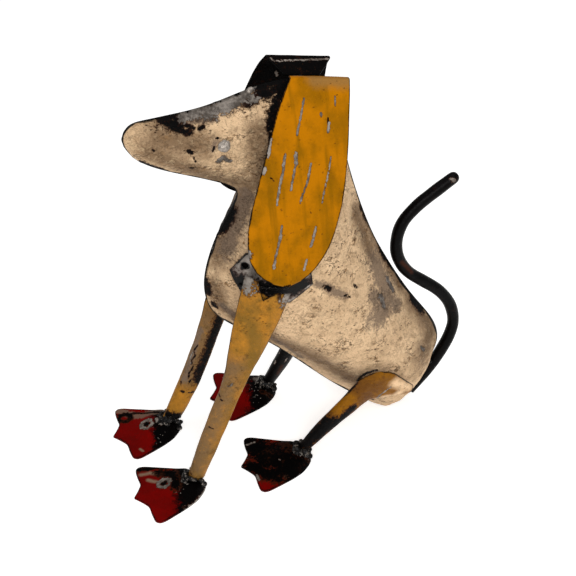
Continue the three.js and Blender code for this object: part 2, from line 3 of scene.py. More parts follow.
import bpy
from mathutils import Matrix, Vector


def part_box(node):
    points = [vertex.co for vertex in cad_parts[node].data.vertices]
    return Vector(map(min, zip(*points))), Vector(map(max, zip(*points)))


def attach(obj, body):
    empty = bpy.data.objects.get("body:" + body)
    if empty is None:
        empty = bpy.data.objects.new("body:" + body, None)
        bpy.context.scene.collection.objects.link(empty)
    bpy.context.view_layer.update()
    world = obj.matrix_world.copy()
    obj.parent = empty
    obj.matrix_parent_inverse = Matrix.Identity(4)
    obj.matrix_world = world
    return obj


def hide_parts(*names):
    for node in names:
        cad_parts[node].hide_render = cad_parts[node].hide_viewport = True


bl_info = {
    "name": "Scrap Metal Dog",
    "version": (1, 0, 0),
    "blender": (4, 5, 0),
    "location": "View3D > Sidebar > Scrap Dog",
    "description": "Dresses a scrap metal dog in hammered, welded and worn painted sheet",
    "category": "Object",
}

import math
import random
from typing import NamedTuple

import bmesh
import bpy
import numpy as np
from mathutils import Matrix, Vector, noise
from mathutils.bvhtree import BVHTree
from mathutils.kdtree import KDTree

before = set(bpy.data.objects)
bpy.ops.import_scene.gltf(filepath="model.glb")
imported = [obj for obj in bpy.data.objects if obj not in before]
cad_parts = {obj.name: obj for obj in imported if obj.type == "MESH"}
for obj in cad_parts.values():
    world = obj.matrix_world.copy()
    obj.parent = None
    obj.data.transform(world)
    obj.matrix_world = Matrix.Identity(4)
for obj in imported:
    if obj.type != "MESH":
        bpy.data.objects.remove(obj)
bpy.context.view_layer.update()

MM = 0.001
SIDES = {"left": -1, "right": 1}
PAWS = ("left_front", "right_front", "left_hind", "right_hind")
SHARP_DEG = 50  # a cut edge of a sheet turns by more than this

# The camera looks along the photograph's line of sight. Places on the dog are also named by the
# pixels where this camera sees them in a square picture.
PICTURE = 576
LENS_PIXELS = 1400.3
SENSOR_MM = 36
CAMERA_TURN = math.radians(19.5)
CAMERA_DROP = math.radians(33)
CAMERA_DISTANCE = 1218.3 * MM
AIM_RIGHT = 39.9 * MM
AIM_UP = 129.4 * MM
NOSE_TO_DATUM = 87.1 * MM
NEARER_TRIES = 3  # steps towards a surface that the line of sight just misses


def linear(red, green, blue):
    """A screen colour, 0 to 255, as linear light."""
    shares = (value / 255 for value in (red, green, blue))
    return tuple(s / 12.92 if s <= 0.04045 else ((s + 0.055) / 1.055) ** 2.4 for s in shares)


def colour_property(name, description, *screen):
    """A colour that the panel shows."""
    return bpy.props.FloatVectorProperty(
        name=name, description=description, subtype="COLOR", size=3, min=0, max=1, default=linear(*screen)
    )


def length_property(name, description, millimetres):
    """A length that the panel shows."""
    return bpy.props.FloatProperty(
        name=name, description=description, unit="LENGTH", min=0, precision=5, default=millimetres * MM
    )


class ScrapDogPaints(bpy.types.PropertyGroup):
    """Paints and metals."""

    cream: colour_property("Cream", "Paint of the body", 233, 198, 157)
    cream_shade: colour_property("Cream shade", "Dirty body paint", 136, 104, 70)
    # Also the colour of the painted shade on the neck below the ear.
    rubbed_and_shade: colour_property("Rubbed", "Dull metal with thin paint left on it", 112, 94, 79)
    # Painted shade with some dirt: the darker body under the jaw, by the ear, down the neck, on the chest
    # and belly, and towards the back and rump.
    dirt_and_shade: colour_property("Grey dirt", "Rubbed-in dirt on the body", 118, 93, 68)
    yellow: colour_property("Yellow", "Paint of the ears", 174, 107, 0)
    yellow_shade: colour_property("Yellow shade", "Darker ear paint", 124, 82, 0)
    ear_soil: colour_property("Ear soil", "Dirt along the top of the ear", 140, 102, 52)
    toe_soil: colour_property("Toe soil", "Rubbed paint of the paws", 128, 108, 88)
    ochre: colour_property("Ochre", "Paint of the front legs", 176, 117, 34)
    ochre_shade: colour_property("Ochre shade", "Darker paint of the front legs", 120, 88, 30)
    leg_tan: colour_property("Leg tan", "Rubbed paint of the legs", 114, 88, 58)
    mustard: colour_property("Mustard", "Paint of the near hind leg", 136, 86, 2)
    mustard_shade: colour_property("Mustard shade", "Burnt paint of the hind leg", 78, 44, 12)
    red: colour_property("Red", "Paint of the toes", 112, 3, 1)
    red_shade: colour_property("Red shade", "Darker paint of the toes", 92, 3, 1)
    black: colour_property("Black", "Black paint", 3, 2, 2)
    brown: colour_property("Burnt brown", "Edge of a burn", 52, 24, 10)
    steel: colour_property("Steel", "Bare sheet", 150, 141, 132)
    steel_shade: colour_property("Steel shade", "Dull bare sheet", 92, 84, 77)


class ScrapDogSizes(bpy.types.PropertyGroup):
    """Sizes of the finish."""

    dent_depth: length_property("Dent depth", "Depth of the hammer marks on the body", 0.8)
    dent_spacing: length_property("Dent spacing", "Distance between hammer marks", 11)
    ear_ripple: length_property("Ear ripple", "Height of the soft flutes along an ear", 0.5)
    seam_bead: length_property("Seam bead", "Radius of the weld along the seam", 1.05)
    weld_radius: length_property("Weld radius", "Radius of one dab of weld", 2.2)
    grain: length_property("Grain", "Size of the grain in the paint", 2.4)
    pit_spacing: length_property("Pit spacing", "Distance between pits in the paint", 5.6)


class ScrapDogStage(bpy.types.PropertyGroup):
    """Floor and lights."""

    floor_size: length_property("Floor size", "Side of the floor", 9000)
    floor_colour: colour_property("Floor", "Colour of the floor", 236, 235, 233)
    floor_glow: bpy.props.FloatProperty(
        name="Floor glow", description="Light that the floor gives of itself", default=0.55, min=0
    )
    key_power: bpy.props.FloatProperty(
        name="Key light", description="Power of the light above the camera in watts", default=17, min=0
    )
    fill_power: bpy.props.FloatProperty(
        name="Fill light", description="Power of the overhead light in watts", default=6, min=0
    )
    sky: bpy.props.FloatProperty(
        name="Sky", description="Strength of the even light from all round", default=0.4, min=0
    )


def swatch(name):
    """The colour of one of the paints and metals."""
    return tuple(getattr(bpy.context.scene.scrap_dog_paints, name))


def sizes():
    """The sizes of the finish."""
    return bpy.context.scene.scrap_dog_sizes


def datum():
    """The point on the ground, in the seam plane, from which the picture's places are measured."""
    low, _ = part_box("left_half_shell")
    return Vector((low[0] + NOSE_TO_DATUM, seam_plane(), 0))


def seam_plane():
    """Distance along Y of the seam between the half shells."""
    return (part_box("left_half_shell")[1][1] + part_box("right_half_shell")[0][1]) / 2


def camera_axes():
    """The camera's line of sight, its right and its up."""
    flat = math.cos(CAMERA_DROP)
    look = Vector((math.sin(CAMERA_TURN) * flat, math.cos(CAMERA_TURN) * flat, -math.sin(CAMERA_DROP)))
    right = Vector((math.cos(CAMERA_TURN), -math.sin(CAMERA_TURN), 0))
    return look, right, right.cross(look)


def camera_place():
    """Where the camera stands."""
    look, right, up = camera_axes()
    return datum() + right * AIM_RIGHT + up * AIM_UP - look * CAMERA_DISTANCE


def land(tree, pixel):
    """The point of a surface that the camera sees at a pixel, or the nearest one beside it."""
    look, right, up = camera_axes()
    across = (pixel[0] - PICTURE / 2) / LENS_PIXELS
    down = (pixel[1] - PICTURE / 2) / LENS_PIXELS
    way = (look + right * across - up * down).normalized()
    start = camera_place()
    place = tree.ray_cast(start, way)[0]
    if place is None:
        place = tree.find_nearest(start + way * CAMERA_DISTANCE)[0]
        for _ in range(NEARER_TRIES):
            place = tree.find_nearest(start + way * (place - start).dot(way))[0]
    return place


# Meshes.


def new_piece(name, form):
    """Makes a piece from a bmesh."""
    mesh = bpy.data.meshes.new(name)
    form.to_mesh(mesh)
    form.free()
    piece = bpy.data.objects.new(name, mesh)
    bpy.context.scene.collection.objects.link(piece)
    return piece


def settle(piece):
    """Replaces a piece's mesh by what its modifiers make of it."""
    bpy.context.view_layer.update()
    graph = bpy.context.evaluated_depsgraph_get()
    mesh = bpy.data.meshes.new_from_object(piece.evaluated_get(graph))
    piece.modifiers.clear()
    old = piece.data
    piece.data = mesh
    mesh.name = old.name
    bpy.data.meshes.remove(old)


def smooth_faces(piece):
    """Shades a piece as one smooth surface."""
    piece.data.polygons.foreach_set("use_smooth", [True] * len(piece.data.polygons))


def joined_copy(node):
    """A copy of a CAD node's mesh with its loose triangles joined."""
    form = bmesh.new()
    form.from_mesh(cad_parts[node].data)
    bmesh.ops.remove_doubles(form, verts=form.verts[:], dist=0.002 * MM)
    bmesh.ops.join_triangles(
        form, faces=form.faces[:], angle_face_threshold=math.radians(35), angle_shape_threshold=math.pi
    )
    return form


def fine_copy(node, name, rounds, cuts=0, sharp_deg=SHARP_DEG):
    """A smooth, finely meshed copy of a CAD node that keeps its sheet edges crisp."""
    form = joined_copy(node)
    crease = form.edges.layers.float.new("crease_edge")
    for edge in form.edges:
        if edge.calc_face_angle(0) > math.radians(sharp_deg):
            edge[crease] = 1
    if cuts:
        bmesh.ops.subdivide_edges(form, edges=form.edges[:], cuts=cuts, use_grid_fill=True)
    piece = new_piece(name, form)
    if rounds:
        finer = piece.modifiers.new("Finer", "SUBSURF")
        finer.levels = rounds
        finer.render_levels = rounds
        settle(piece)
    smooth_faces(piece)
    return piece


def vertex_arrays(mesh):
    """Places and normals of a mesh's vertices."""
    count = len(mesh.vertices)
    places = np.empty(count * 3, np.float32)
    normals = np.empty(count * 3, np.float32)
    mesh.vertices.foreach_get("co", places)
    mesh.vertex_normals.foreach_get("vector", normals)
    return places.reshape(-1, 3), normals.reshape(-1, 3)


def push(piece, height):
    """Moves each vertex along its normal by height(place, normal)."""
    mesh = piece.data
    places, normals = vertex_arrays(mesh)
    for index, (place, normal) in enumerate(zip(places, normals)):
        places[index] += normal * height(Vector(place), Vector(normal))
    mesh.vertices.foreach_set("co", places.ravel())
    mesh.update()


def waves(place, *layers):
    """Smooth lumps on a surface, added up from layers that each have a height and a size in millimetres."""
    return sum(height * MM * noise.noise(place / (size * MM)) for height, size in layers)


# Marks: worn, burnt and bare places, drawn where the photograph shows them.


class Mark(NamedTuple):
    """A place on a piece: what is there, the pixels along its middle, its half width in millimetres,
    and for a ring the radius of its middle line."""

    kind: str
    pixels: tuple
    width: float
    ring: float = 0


FIELDS = ("bare", "burn", "patch", "rub")
FIELD_FLOOR = -3.0  # depth far outside every mark


def distance_to_path(places, path):
    """Distance of every place from a line through the path's points."""
    nearest = np.full(len(places), np.inf)
    for first, last in zip(path, path[1:] if len(path) > 1 else path):
        start = np.array(first)
        run = np.array(last) - start
        length = max(float(run @ run), 1e-12)
        share = np.clip((places - start) @ run / length, 0, 1)
        nearest = np.minimum(nearest, np.linalg.norm(places - start - share[:, None] * run, axis=1))
    return nearest


def draw_marks(piece, marks, mirrored=None):
    """Writes how deep each vertex lies in the marks of each kind: 1 in the middle, 0 at the rim. Where
    the camera can't see the piece, it takes the marks of its mirror image across the seam."""
    mesh = piece.data
    places, _ = vertex_arrays(mesh)
    seen = mesh if mirrored is None else mirrored.data
    tree = BVHTree.FromPolygons([v.co for v in seen.vertices], [p.vertices for p in seen.polygons])
    fields = {kind: np.full(len(places), FIELD_FLOOR) for kind in FIELDS}
    for mark in marks:
        path = [land(tree, pixel) for pixel in mark.pixels]
        if mirrored is not None:
            path = [Vector((p.x, 2 * seam_plane() - p.y, p.z)) for p in path]
        away = distance_to_path(places, path)
        if mark.ring:
            away = abs(away - mark.ring * MM)
        depth = 1 - away / (mark.width * MM)
        fields[mark.kind] = np.maximum(fields[mark.kind], depth)
    for kind, field in fields.items():
        write_field(mesh, kind, field)


def write_field(mesh, name, values):
    """Keeps one number for each vertex, for the shaders to read."""
    field = mesh.attributes.get(name) or mesh.attributes.new(name, "FLOAT", "POINT")
    field.data.foreach_set("value", np.asarray(values, np.float32))


def read_field(mesh, name):
    """The numbers that write_field has kept."""
    values = np.empty(len(mesh.vertices), np.float32)
    mesh.attributes[name].data.foreach_get("value", values)
    return values


def draw_rim(piece, node):
    """Writes the distance in millimetres of every vertex from the cut edges of its sheet."""
    form = joined_copy(node)
    edges = [edge for edge in form.edges if edge.calc_face_angle(0) > math.radians(SHARP_DEG)]
    points = []
    for edge in edges:
        first, last = (v.co for v in edge.verts)
        steps = max(int((last - first).length / MM), 1)
        points += [first.lerp(last, step / steps) for step in range(steps + 1)]
    form.free()
    tree = KDTree(len(points))
    for index, point in enumerate(points):
        tree.insert(point, index)
    tree.balance()
    values = [tree.find(vertex.co)[2] / MM for vertex in piece.data.vertices]
    write_field(piece.data, "rim", values)


# Shaders.


class Link:
    """A shader output that can stand in a sum."""

    def __init__(self, graph, socket):
        self.graph = graph
        self.socket = socket

    def __add__(self, other):
        return self.graph.math("ADD", self, other)

    def __sub__(self, other):
        return self.graph.math("SUBTRACT", self, other)

    def __rsub__(self, other):
        return self.graph.math("SUBTRACT", other, self)

    def __mul__(self, other):
        return self.graph.math("MULTIPLY", self, other)

    __radd__ = __add__
    __rmul__ = __mul__


class Graph:
    """The nodes of one material."""

    def __init__(self, name):
        self.material = bpy.data.materials.new(name)
        self.material.use_nodes = True
        self.tree = self.material.node_tree
        self.tree.nodes.clear()

    def node(self, kind, settings, inputs, output=0):
        """Adds a node, sets it, feeds it and gives one of its outputs."""
        node = self.tree.nodes.new("ShaderNode" + kind)
        for key, value in settings.items():
            setattr(node, key, value)
        for key, value in inputs.items():
            self.feed(node.inputs[key], value)
        return Link(self, node.outputs[output]) if node.outputs else None

    def feed(self, socket, value):
        if isinstance(value, Link):
            self.tree.links.new(value.socket, socket)
        elif socket.type == "RGBA":
            socket.default_value = (*value, 1)
        else:
            socket.default_value = value

    def math(self, operation, first, second):
        return self.node("Math", {"operation": operation}, {0: first, 1: second})

    def place(self):
        return self.node("TexCoord", {}, {}, "Object")

    def stretched(self, place, *scale):
        return self.node("Mapping", {}, {"Vector": place, "Scale": scale})

    def noise(self, place, size, detail, roughness):
        """Noise with lumps of about the given size in metres."""
        inputs = {"Vector": place, "Scale": 1 / size, "Detail": detail, "Roughness": roughness}
        return self.node("TexNoise", {}, inputs, "Fac")

    def cells(self, place, size):
        """Distance from the nearest of many scattered points, in shares of their spacing."""
        return self.node("TexVoronoi", {}, {"Vector": place, "Scale": 1 / size}, "Distance")

    def field(self, name):
        return self.node("Attribute", {"attribute_name": name}, {}, "Fac")

    def ramp(self, value, low, high):
        """0 below low and 1 above high, or the other way round where low is the larger."""
        first, last = min(low, high), max(low, high)
        ends = (0, 1) if low < high else (1, 0)
        inputs = {"Value": value, "From Min": first, "From Max": last, "To Min": ends[0], "To Max": ends[1]}
        return self.node("MapRange", {"interpolation_type": "SMOOTHSTEP"}, inputs)

    def mix(self, first, second, share):
        settings = {"data_type": "RGBA", "clamp_factor": True}
        return self.node("Mix", settings, {0: share, 6: first, 7: second}, 2)

    def bump(self, height, strength, distance):
        return self.node("Bump", {}, {"Height": height, "Strength": strength, "Distance": distance})

    def surface(self, colour, roughness, metallic, normal, ior, glow=0.0):
        inputs = {"Base Color": colour, "Roughness": roughness, "Metallic": metallic, "Normal": normal}
        inputs["IOR"] = ior
        inputs["Emission Strength"] = glow
        shader = self.node("BsdfPrincipled", {}, inputs)
        self.node("OutputMaterial", {}, {"Surface": shader})
        return self.material


class Coat(NamedTuple):
    """How one paint looks and how it has worn. Its three colours are names of swatches."""

    colour: str
    shade: str
    # The body's soil colour also paints shade where a patch is marked.
    soil: str
    roughness: float = 0.5
    metallic: float = 0.0
    ior: float = 1.18
    blotch: float = 30.0
    cloud: float = 0.8
    pits: float = 0.6
    # Strength of the darkened hollows, painted shade partly with dirt, and of the cracks.
    mottle: float = 0.0
    grime: float = 0.35
    # Strength of the painted highlight on raised flakes.
    flake_highlight: float = 0.25
    edge: float = 1.2
    relief: float = 0.7
    streaks: tuple = ()
    heel: bool = False


class WornPaint:
    """One paint on steel. Each layer of wear, dirt, painted shade and painted highlight is mixed over the
    layers before it.
    """

    # Sizes of the patterns, in grains.
    TATTER = 3.2
    MIDDLE = 5.5
    FLAKE = 2.8
    # Sizes of the patterns, in metres.
    STREAK = 26 * MM
    CROWD = 16 * MM
    CRACK = 5 * MM
    SPATTER = 2.6 * MM
    # A speck's spacing, in shares of a pit's.
    SPECK = 0.4
    # Most that a layer hides of what lies under it.
    SOIL_COVER = 0.92
    SPECK_COVER = 0.8
    SPATTER_COVER = 0.8
    RUB_COVER = 0.8
    CRUST_COVER = 0.85
    HALO_COVER = 0.75
    # Painted highlight: a raised flake is this much lighter than its paint.
    FLAKE_HIGHLIGHT = 1.35
    # Width of the dark band along a cut edge, in millimetres.
    RIM_FADE = 0.9

    def __init__(self, name, coat):
        self.coat = coat
        self.graph = graph = Graph(name)
        grain_size = sizes().grain
        self.place = graph.place()
        self.grain = graph.noise(self.place, grain_size, 4, 0.65)
        self.tatter = graph.noise(self.place, self.TATTER * grain_size, 6, 0.8) - 0.5
        self.middle = graph.noise(self.place, self.MIDDLE * grain_size, 5, 0.62)
        low_flakes = graph.stretched(self.place, 0.85, 1, 1.2)
        self.flake = graph.noise(low_flakes, self.FLAKE * grain_size, 6, 0.75)
        self.crowd = graph.ramp(graph.noise(self.place, self.CROWD, 3, 0.5), 0.46, 0.6)
        self.fray = 2.4 * self.tatter + 2.0 * (self.grain - 0.5)
        self.colour = swatch(coat.colour)
        self.roughness = coat.roughness + 0.3 * (self.grain - 0.5)
        self.metallic = coat.metallic
        self.height = 0.3 * self.grain + 1.1 * self.middle + 0.8 * self.flake

    def cover(self, colour, share):
        """Mixes a colour over what is there."""
        self.colour = self.graph.mix(self.colour, colour, share)

    def clouds(self):
        """Broad darker clouds, and streaks on paint that was brushed."""
        graph, coat = self.graph, self.coat
        blotch = graph.noise(self.place, coat.blotch * MM, 4, 0.6)
        self.cover(swatch(coat.shade), graph.ramp(blotch + 0.6 * self.middle, 0.62, 1.0) * coat.cloud)
        if coat.streaks:
            streak = graph.noise(graph.stretched(self.place, *coat.streaks), self.STREAK, 3, 0.5)
            self.cover(swatch(coat.shade), graph.ramp(streak, 0.5, 0.68) * coat.cloud)

    def soil(self):
        """Dirt worked into the paint where a patch is marked; on the body the patches also paint shade."""
        reach = self.graph.field("patch") + 1.6 * self.tatter + 0.5 * (self.middle - 0.5)
        self.cover(swatch(self.coat.soil), self.graph.ramp(reach, -0.9, 0.9) * self.SOIL_COVER)

    def flakes(self):
        """Hollows darkened with painted shade and some dirt, raised flakes lightened as a painted
        highlight, and grime over both.
        """
        graph, coat = self.graph, self.coat
        # Painted shade in the hollows of the flake pattern, partly dirt in them.
        hollow_dirt_and_shade = graph.ramp(self.flake + 0.5 * (self.middle - 0.5), 0.46, 0.38)
        self.cover(swatch(coat.shade), hollow_dirt_and_shade * (0.35 + 0.65 * self.crowd) * coat.mottle)
        # Painted highlight: raised flakes lighter than their paint.
        light = tuple(min(value * self.FLAKE_HIGHLIGHT, 1) for value in swatch(coat.colour))
        self.cover(light, graph.ramp(self.flake + 0.4 * self.grain, 0.72, 0.88) * coat.flake_highlight)
        self.cover(swatch("brown"), graph.ramp(0.7 * self.grain + self.middle, 0.92, 1.12) * coat.grime)

    def pits(self):
        """Pits and specks, and short cracks in paint that has mottled."""
        graph, coat = self.graph, self.coat
        spacing = sizes().pit_spacing
        tall_cells = graph.cells(graph.stretched(self.place, 1, 1, 1.8), spacing)
        pits = graph.ramp(tall_cells + 0.3 * self.tatter, 0.2, 0.08) * self.crowd
        specks = graph.ramp(graph.cells(self.place, self.SPECK * spacing) + 0.2 * self.tatter, 0.2, 0.08)
        specks = specks * graph.ramp(self.middle, 0.5, 0.6)
        pits = graph.math("MAXIMUM", pits, specks * self.SPECK_COVER)
        if coat.mottle:
            line = graph.noise(graph.stretched(self.place, 1, 1, 1.25), self.CRACK, 4, 0.65) - 0.5
            crack = graph.ramp(graph.math("ABSOLUTE", line, 0), 0.026, 0.006)
            crack = crack * graph.ramp(self.middle, 0.55, 0.48)
            pits = graph.math("MAXIMUM", pits, crack * (0.25 + 0.65 * self.crowd) * coat.mottle)
        self.cover(swatch("brown"), pits * coat.pits)
        self.height = self.height - 0.7 * pits

    def heel(self):
        """A black heel with spatter on it."""
        heel = self.graph.ramp(self.graph.field("heel") + 0.5 * self.tatter, -0.05, 0.06)
        self.cover(swatch("black"), heel)
        drops = self.graph.cells(self.place, self.SPATTER) + 0.3 * self.tatter
        spatter = self.graph.ramp(drops, 0.2, 0.1) * self.crowd
        self.cover(swatch("steel"), spatter * heel * self.SPATTER_COVER)

    def rubbing_and_shade(self):
        """Paint worn thin; the mark on the neck below the ear paints shade this way."""
        rub = self.graph.ramp(self.graph.field("rub") + self.fray, -0.35, 0.5)
        self.cover(swatch("rubbed_and_shade"), rub * self.RUB_COVER)

    def burns_and_shadow(self):
        """Brown crust round a black core; the marks in the gap beside the ear paint a shadow this way."""
        graph = self.graph
        reach = graph.field("burn") + self.fray
        core = graph.ramp(reach, 0.05, 0.3)
        self.cover(swatch("brown"), graph.ramp(reach, -0.45, 0.1) * self.CRUST_COVER)
        rust = graph.ramp(self.grain + self.middle, 1.05, 1.3) * 0.7
        self.cover(graph.mix(swatch("black"), swatch("brown"), rust), core)
        self.roughness = self.roughness + 0.1 * core
        self.height = self.height + 0.3 * core

    def bare_steel(self):
        """Steel in a brown halo where the paint is gone, and a dark line along the cut edges. Some of the
        steel marks are painted highlights on lit edges, bends and the tip of the tail.
        """
        graph, coat = self.graph, self.coat
        reach = graph.field("bare") + 1.3 * self.fray
        bare = graph.ramp(reach, -0.02, 0.12)
        self.cover(swatch("brown"), graph.ramp(reach, -0.5, 0.0) * self.HALO_COVER)
        shine = graph.ramp(self.grain + 2 * self.middle, 1.2, 1.8)
        self.cover(graph.mix(swatch("steel_shade"), swatch("steel"), shine), bare)
        rim = graph.ramp(graph.field("rim") - 1.6 * self.middle, coat.edge, coat.edge - self.RIM_FADE)
        self.cover(swatch("black"), rim * (1 - 0.6 * bare))
        self.metallic = self.metallic + 0.35 * bare
        self.roughness = self.roughness - 0.08 * bare
        self.height = self.height - 0.4 * bare

    def finished(self):
        """The material with all its layers."""
        normal = self.graph.bump(self.height, 0.8, self.coat.relief * MM)
        return self.graph.surface(self.colour, self.roughness, self.metallic, normal, self.coat.ior)


def worn_paint(name, coat):
    """Lays a paint, wears it and paints shade and highlights into it, from the paint itself out to what was
    done to it last.
    """
    work = WornPaint(name, coat)
    work.clouds()
    work.soil()
    work.flakes()
    work.pits()
    if coat.heel:
        work.heel()
    work.rubbing_and_shade()
    work.burns_and_shadow()
    work.bare_steel()
    return work.finished()


# How much of each weld shines through its dark scale, and the sizes of its patterns and its mesh.
WELD_BRIGHTNESS = {"ankle_weld": 0.2, "dark_weld": 0.1, "bright_weld": 0.5, "seam_weld": 0.04}
WELD_SCALE = 1.4 * MM
WELD_RIPPLE = 4 * MM
WELD_VOXEL = 0.6 * MM
DAB_SPACING = 1.1  # in radii of a dab


def weld_metal(name, brightness):
    """Weld: dark scale with bright ripples."""
    graph = Graph(name)
    place = graph.place()
    scale = graph.noise(place, WELD_SCALE, 4, 0.7)
    ripple = graph.noise(place, WELD_RIPPLE, 4, 0.6)
    bright = graph.ramp(scale + 0.8 * ripple, 1.15 - brightness, 1.3 - brightness)
    colour = graph.mix(swatch("black"), swatch("steel"), bright)
    normal = graph.bump(scale, 0.6, 0.4 * MM)
    return graph.surface(colour, 0.45 - 0.12 * bright, 0.2 + 0.4 * bright, normal, 1.3)


# The marks that the photograph shows on each piece.

SHELL_MARKS = (
    # These patches paint shade, partly with real dirt: under the jaw, on the snout, beside and below the
    # ear, down the neck, on the chest and belly, and where the back and rump turn from the light.
    Mark("patch", ((150, 152), (185, 168), (222, 180), (250, 188)), 11),
    Mark("patch", ((160, 138), (200, 146)), 12),
    Mark("patch", ((258, 130), (262, 160), (258, 186)), 9),
    Mark("patch", ((240, 196), (230, 222), (216, 255)), 13),
    Mark("patch", ((214, 285), (222, 306), (250, 326)), 8),
    Mark("patch", ((365, 205), (385, 255), (400, 285)), 8),
    Mark("patch", ((262, 334), (310, 356), (350, 378)), 12),
    Mark("patch", ((412, 300), (430, 328), (424, 352)), 13),
    Mark("patch", ((356, 212), (370, 250)), 9),
    Mark("bare", ((184, 117), (198, 113), (212, 110)), 4.2),
    Mark("bare", ((206, 112), (222, 107), (236, 101), (246, 95)), 6.4),
    Mark("bare", ((249, 90), (252, 88)), 3.5),
    Mark("burn", ((163, 120), (170, 123), (177, 126)), 5.6),
    Mark("burn", ((170, 117), (181, 120)), 3.0),
    Mark("burn", ((178, 130), (190, 133)), 2.6),
    Mark("burn", ((186, 125), (194, 128)), 1.8),
    Mark("burn", ((200, 129), (203, 126)), 1.6),
    Mark("rub", ((184, 122), (200, 120), (214, 118)), 4.0),
    # Painted shade on the neck below the ear, partly worn paint.
    Mark("rub", ((246, 198), (236, 222), (226, 250)), 9),
    Mark("rub", ((222, 305), (252, 326), (300, 356)), 4),
    Mark("burn", ((142, 162), (150, 165), (158, 168)), 3.0),
    Mark("burn", ((188, 151), (192, 153)), 1.5),
    Mark("burn", ((193, 157), (196, 162)), 0.8),
    Mark("burn", ((190, 168), (193, 168)), 1.0),
    Mark("burn", ((153, 150), (154, 151)), 1.0),
    Mark("bare", ((219, 161), (224, 157)), 1.7),
    Mark("bare", ((224, 159), (230, 161)), 1.4),
    Mark("burn", ((213, 151), (214, 147)), 0.9),
    Mark("burn", ((216, 139), (218, 138)), 0.8),
    Mark("rub", ((213, 150), (216, 141)), 2.2),
    Mark("burn", ((247, 103), (254, 98), (262, 92)), 4.8),
    Mark("bare", ((256, 101), (259, 98)), 1.5),
    Mark("burn", ((256, 88), (268, 84), (284, 79)), 4.4),
    Mark("burn", ((264, 96), (273, 90), (282, 85)), 4.4),
    # Painted shadow: black in the gap between the head and the ear, and a thin dark line down the ear's
    # front edge.
    Mark("burn", ((286, 82), (279, 98), (273, 114), (271, 128)), 4.6),
    Mark("burn", ((270, 132), (268, 160)), 1.4),
    Mark("burn", ((222, 229), (229, 218), (232, 211)), 5.4),
    Mark("burn", ((204, 279), (207, 291)), 4.2),
    Mark("burn", ((213, 303), (215, 306)), 2.6),
    Mark("burn", ((363, 204), (366, 216)), 3.4),
    Mark("burn", ((381, 247), (389, 262)), 3.8),
    Mark("burn", ((413, 299), (421, 309)), 5.0),
    Mark("rub", ((376, 264), (384, 282), (388, 298), (378, 316)), 12),
    Mark("rub", ((374, 296), (396, 304)), 8),
    Mark("bare", ((387, 278), (393, 290)), 2.6),
    Mark("bare", ((380, 296), (384, 306)), 2.6),
    Mark("bare", ((421, 347), (424, 350)), 1.6),
    Mark("burn", ((324, 287), (330, 289)), 1.9),
    Mark("burn", ((354, 285), (357, 287)), 1.3),
    Mark("burn", ((345, 295), (351, 297)), 1.1),
    Mark("rub", ((318, 284), (330, 289), (345, 296)), 4),
    Mark("burn", ((244, 264), (245, 265)), 5.0),
)

LEFT_EAR_MARKS = (
    Mark("patch", ((286, 80), (316, 80), (348, 81)), 5.0),
    Mark("bare", ((304, 98), (302, 110), (297, 135)), 0.75),
    Mark("bare", ((335, 96), (335, 106)), 0.7),
    Mark("bare", ((321, 113), (321, 116)), 0.9),
    Mark("bare", ((329, 123), (328, 132)), 0.9),
    Mark("burn", ((328, 118), (328, 124)), 0.7),
    Mark("bare", ((285, 155), (283, 172), (279, 190), (277, 205)), 0.85),
    Mark("bare", ((296, 153), (296, 164)), 1.3),
    Mark("bare", ((296, 164), (293, 178), (291, 190)), 0.9),
    Mark("bare", ((311, 164), (308, 180), (303, 194), (300, 204)), 0.8),
    Mark("bare", ((331, 156), (329, 170), (325, 188), (322, 203)), 0.6),
    Mark("bare", ((282, 226), (280, 240), (276, 255), (274, 268)), 0.9),
    Mark("bare", ((316, 227), (314, 236), (311, 246)), 1.0),
    Mark("bare", ((307, 260), (304, 270)), 0.8),
    Mark("bare", ((271, 139), (270, 148), (268, 158)), 1.0),
    Mark("bare", ((265, 168), (264, 174)), 1.2),
    Mark("bare", ((245, 253), (248, 256)), 2.4),
    Mark("burn", ((270, 177), (274, 181)), 0.6),
    Mark("burn", ((310, 212), (311, 213)), 0.5),
)

RIGHT_EAR_MARKS = (
    # Painted highlight: bare steel along the lit bend at the top of the far ear.
    Mark("bare", ((271, 58), (273, 61), (300, 60), (328, 59)), 0.9),
    Mark("bare", ((276, 72), (277, 75)), 1.2),
)

LEFT_FRONT_LEG_MARKS = (
    Mark("patch", ((232, 368), (222, 396), (211, 424), (200, 450), (195, 468)), 9.0),
    Mark("bare", ((249, 277), (248, 287)), 6.5),
    Mark("bare", ((290, 297), (294, 286)), 6.5),
    Mark("burn", ((258, 290), (270, 293), (280, 296)), 2.2),
    Mark("burn", ((219, 394), (222, 401)), 0.9),
    Mark("burn", ((209, 427), (213, 429)), 0.8),
    Mark("burn", ((190, 469), (191, 472)), 1.6),
    Mark("bare", ((229, 386), (233, 384)), 1.0),
)

RIGHT_FRONT_LEG_MARKS = (
    Mark("patch", ((212, 312), (200, 345), (189, 376)), 10.0),
    Mark("burn", ((221, 316), (211, 344), (203, 364), (198, 381)), 5.0),
    Mark("burn", ((198, 345), (194, 350), (195, 356), (191, 361), (193, 368), (188, 374), (190, 382)), 0.7),
    Mark("bare", ((193, 352), (190, 358), (191, 364)), 0.5),
    Mark("rub", ((200, 330), (191, 358), (184, 380)), 3.0),
    Mark("burn", ((180, 383), (199, 386)), 1.5),
    Mark("burn", ((177, 391), (184, 392)), 1.0),
    Mark("burn", ((189, 392), (197, 393)), 1.0),
    Mark("burn", ((168, 415), (176, 418), (184, 420)), 4.4),
)

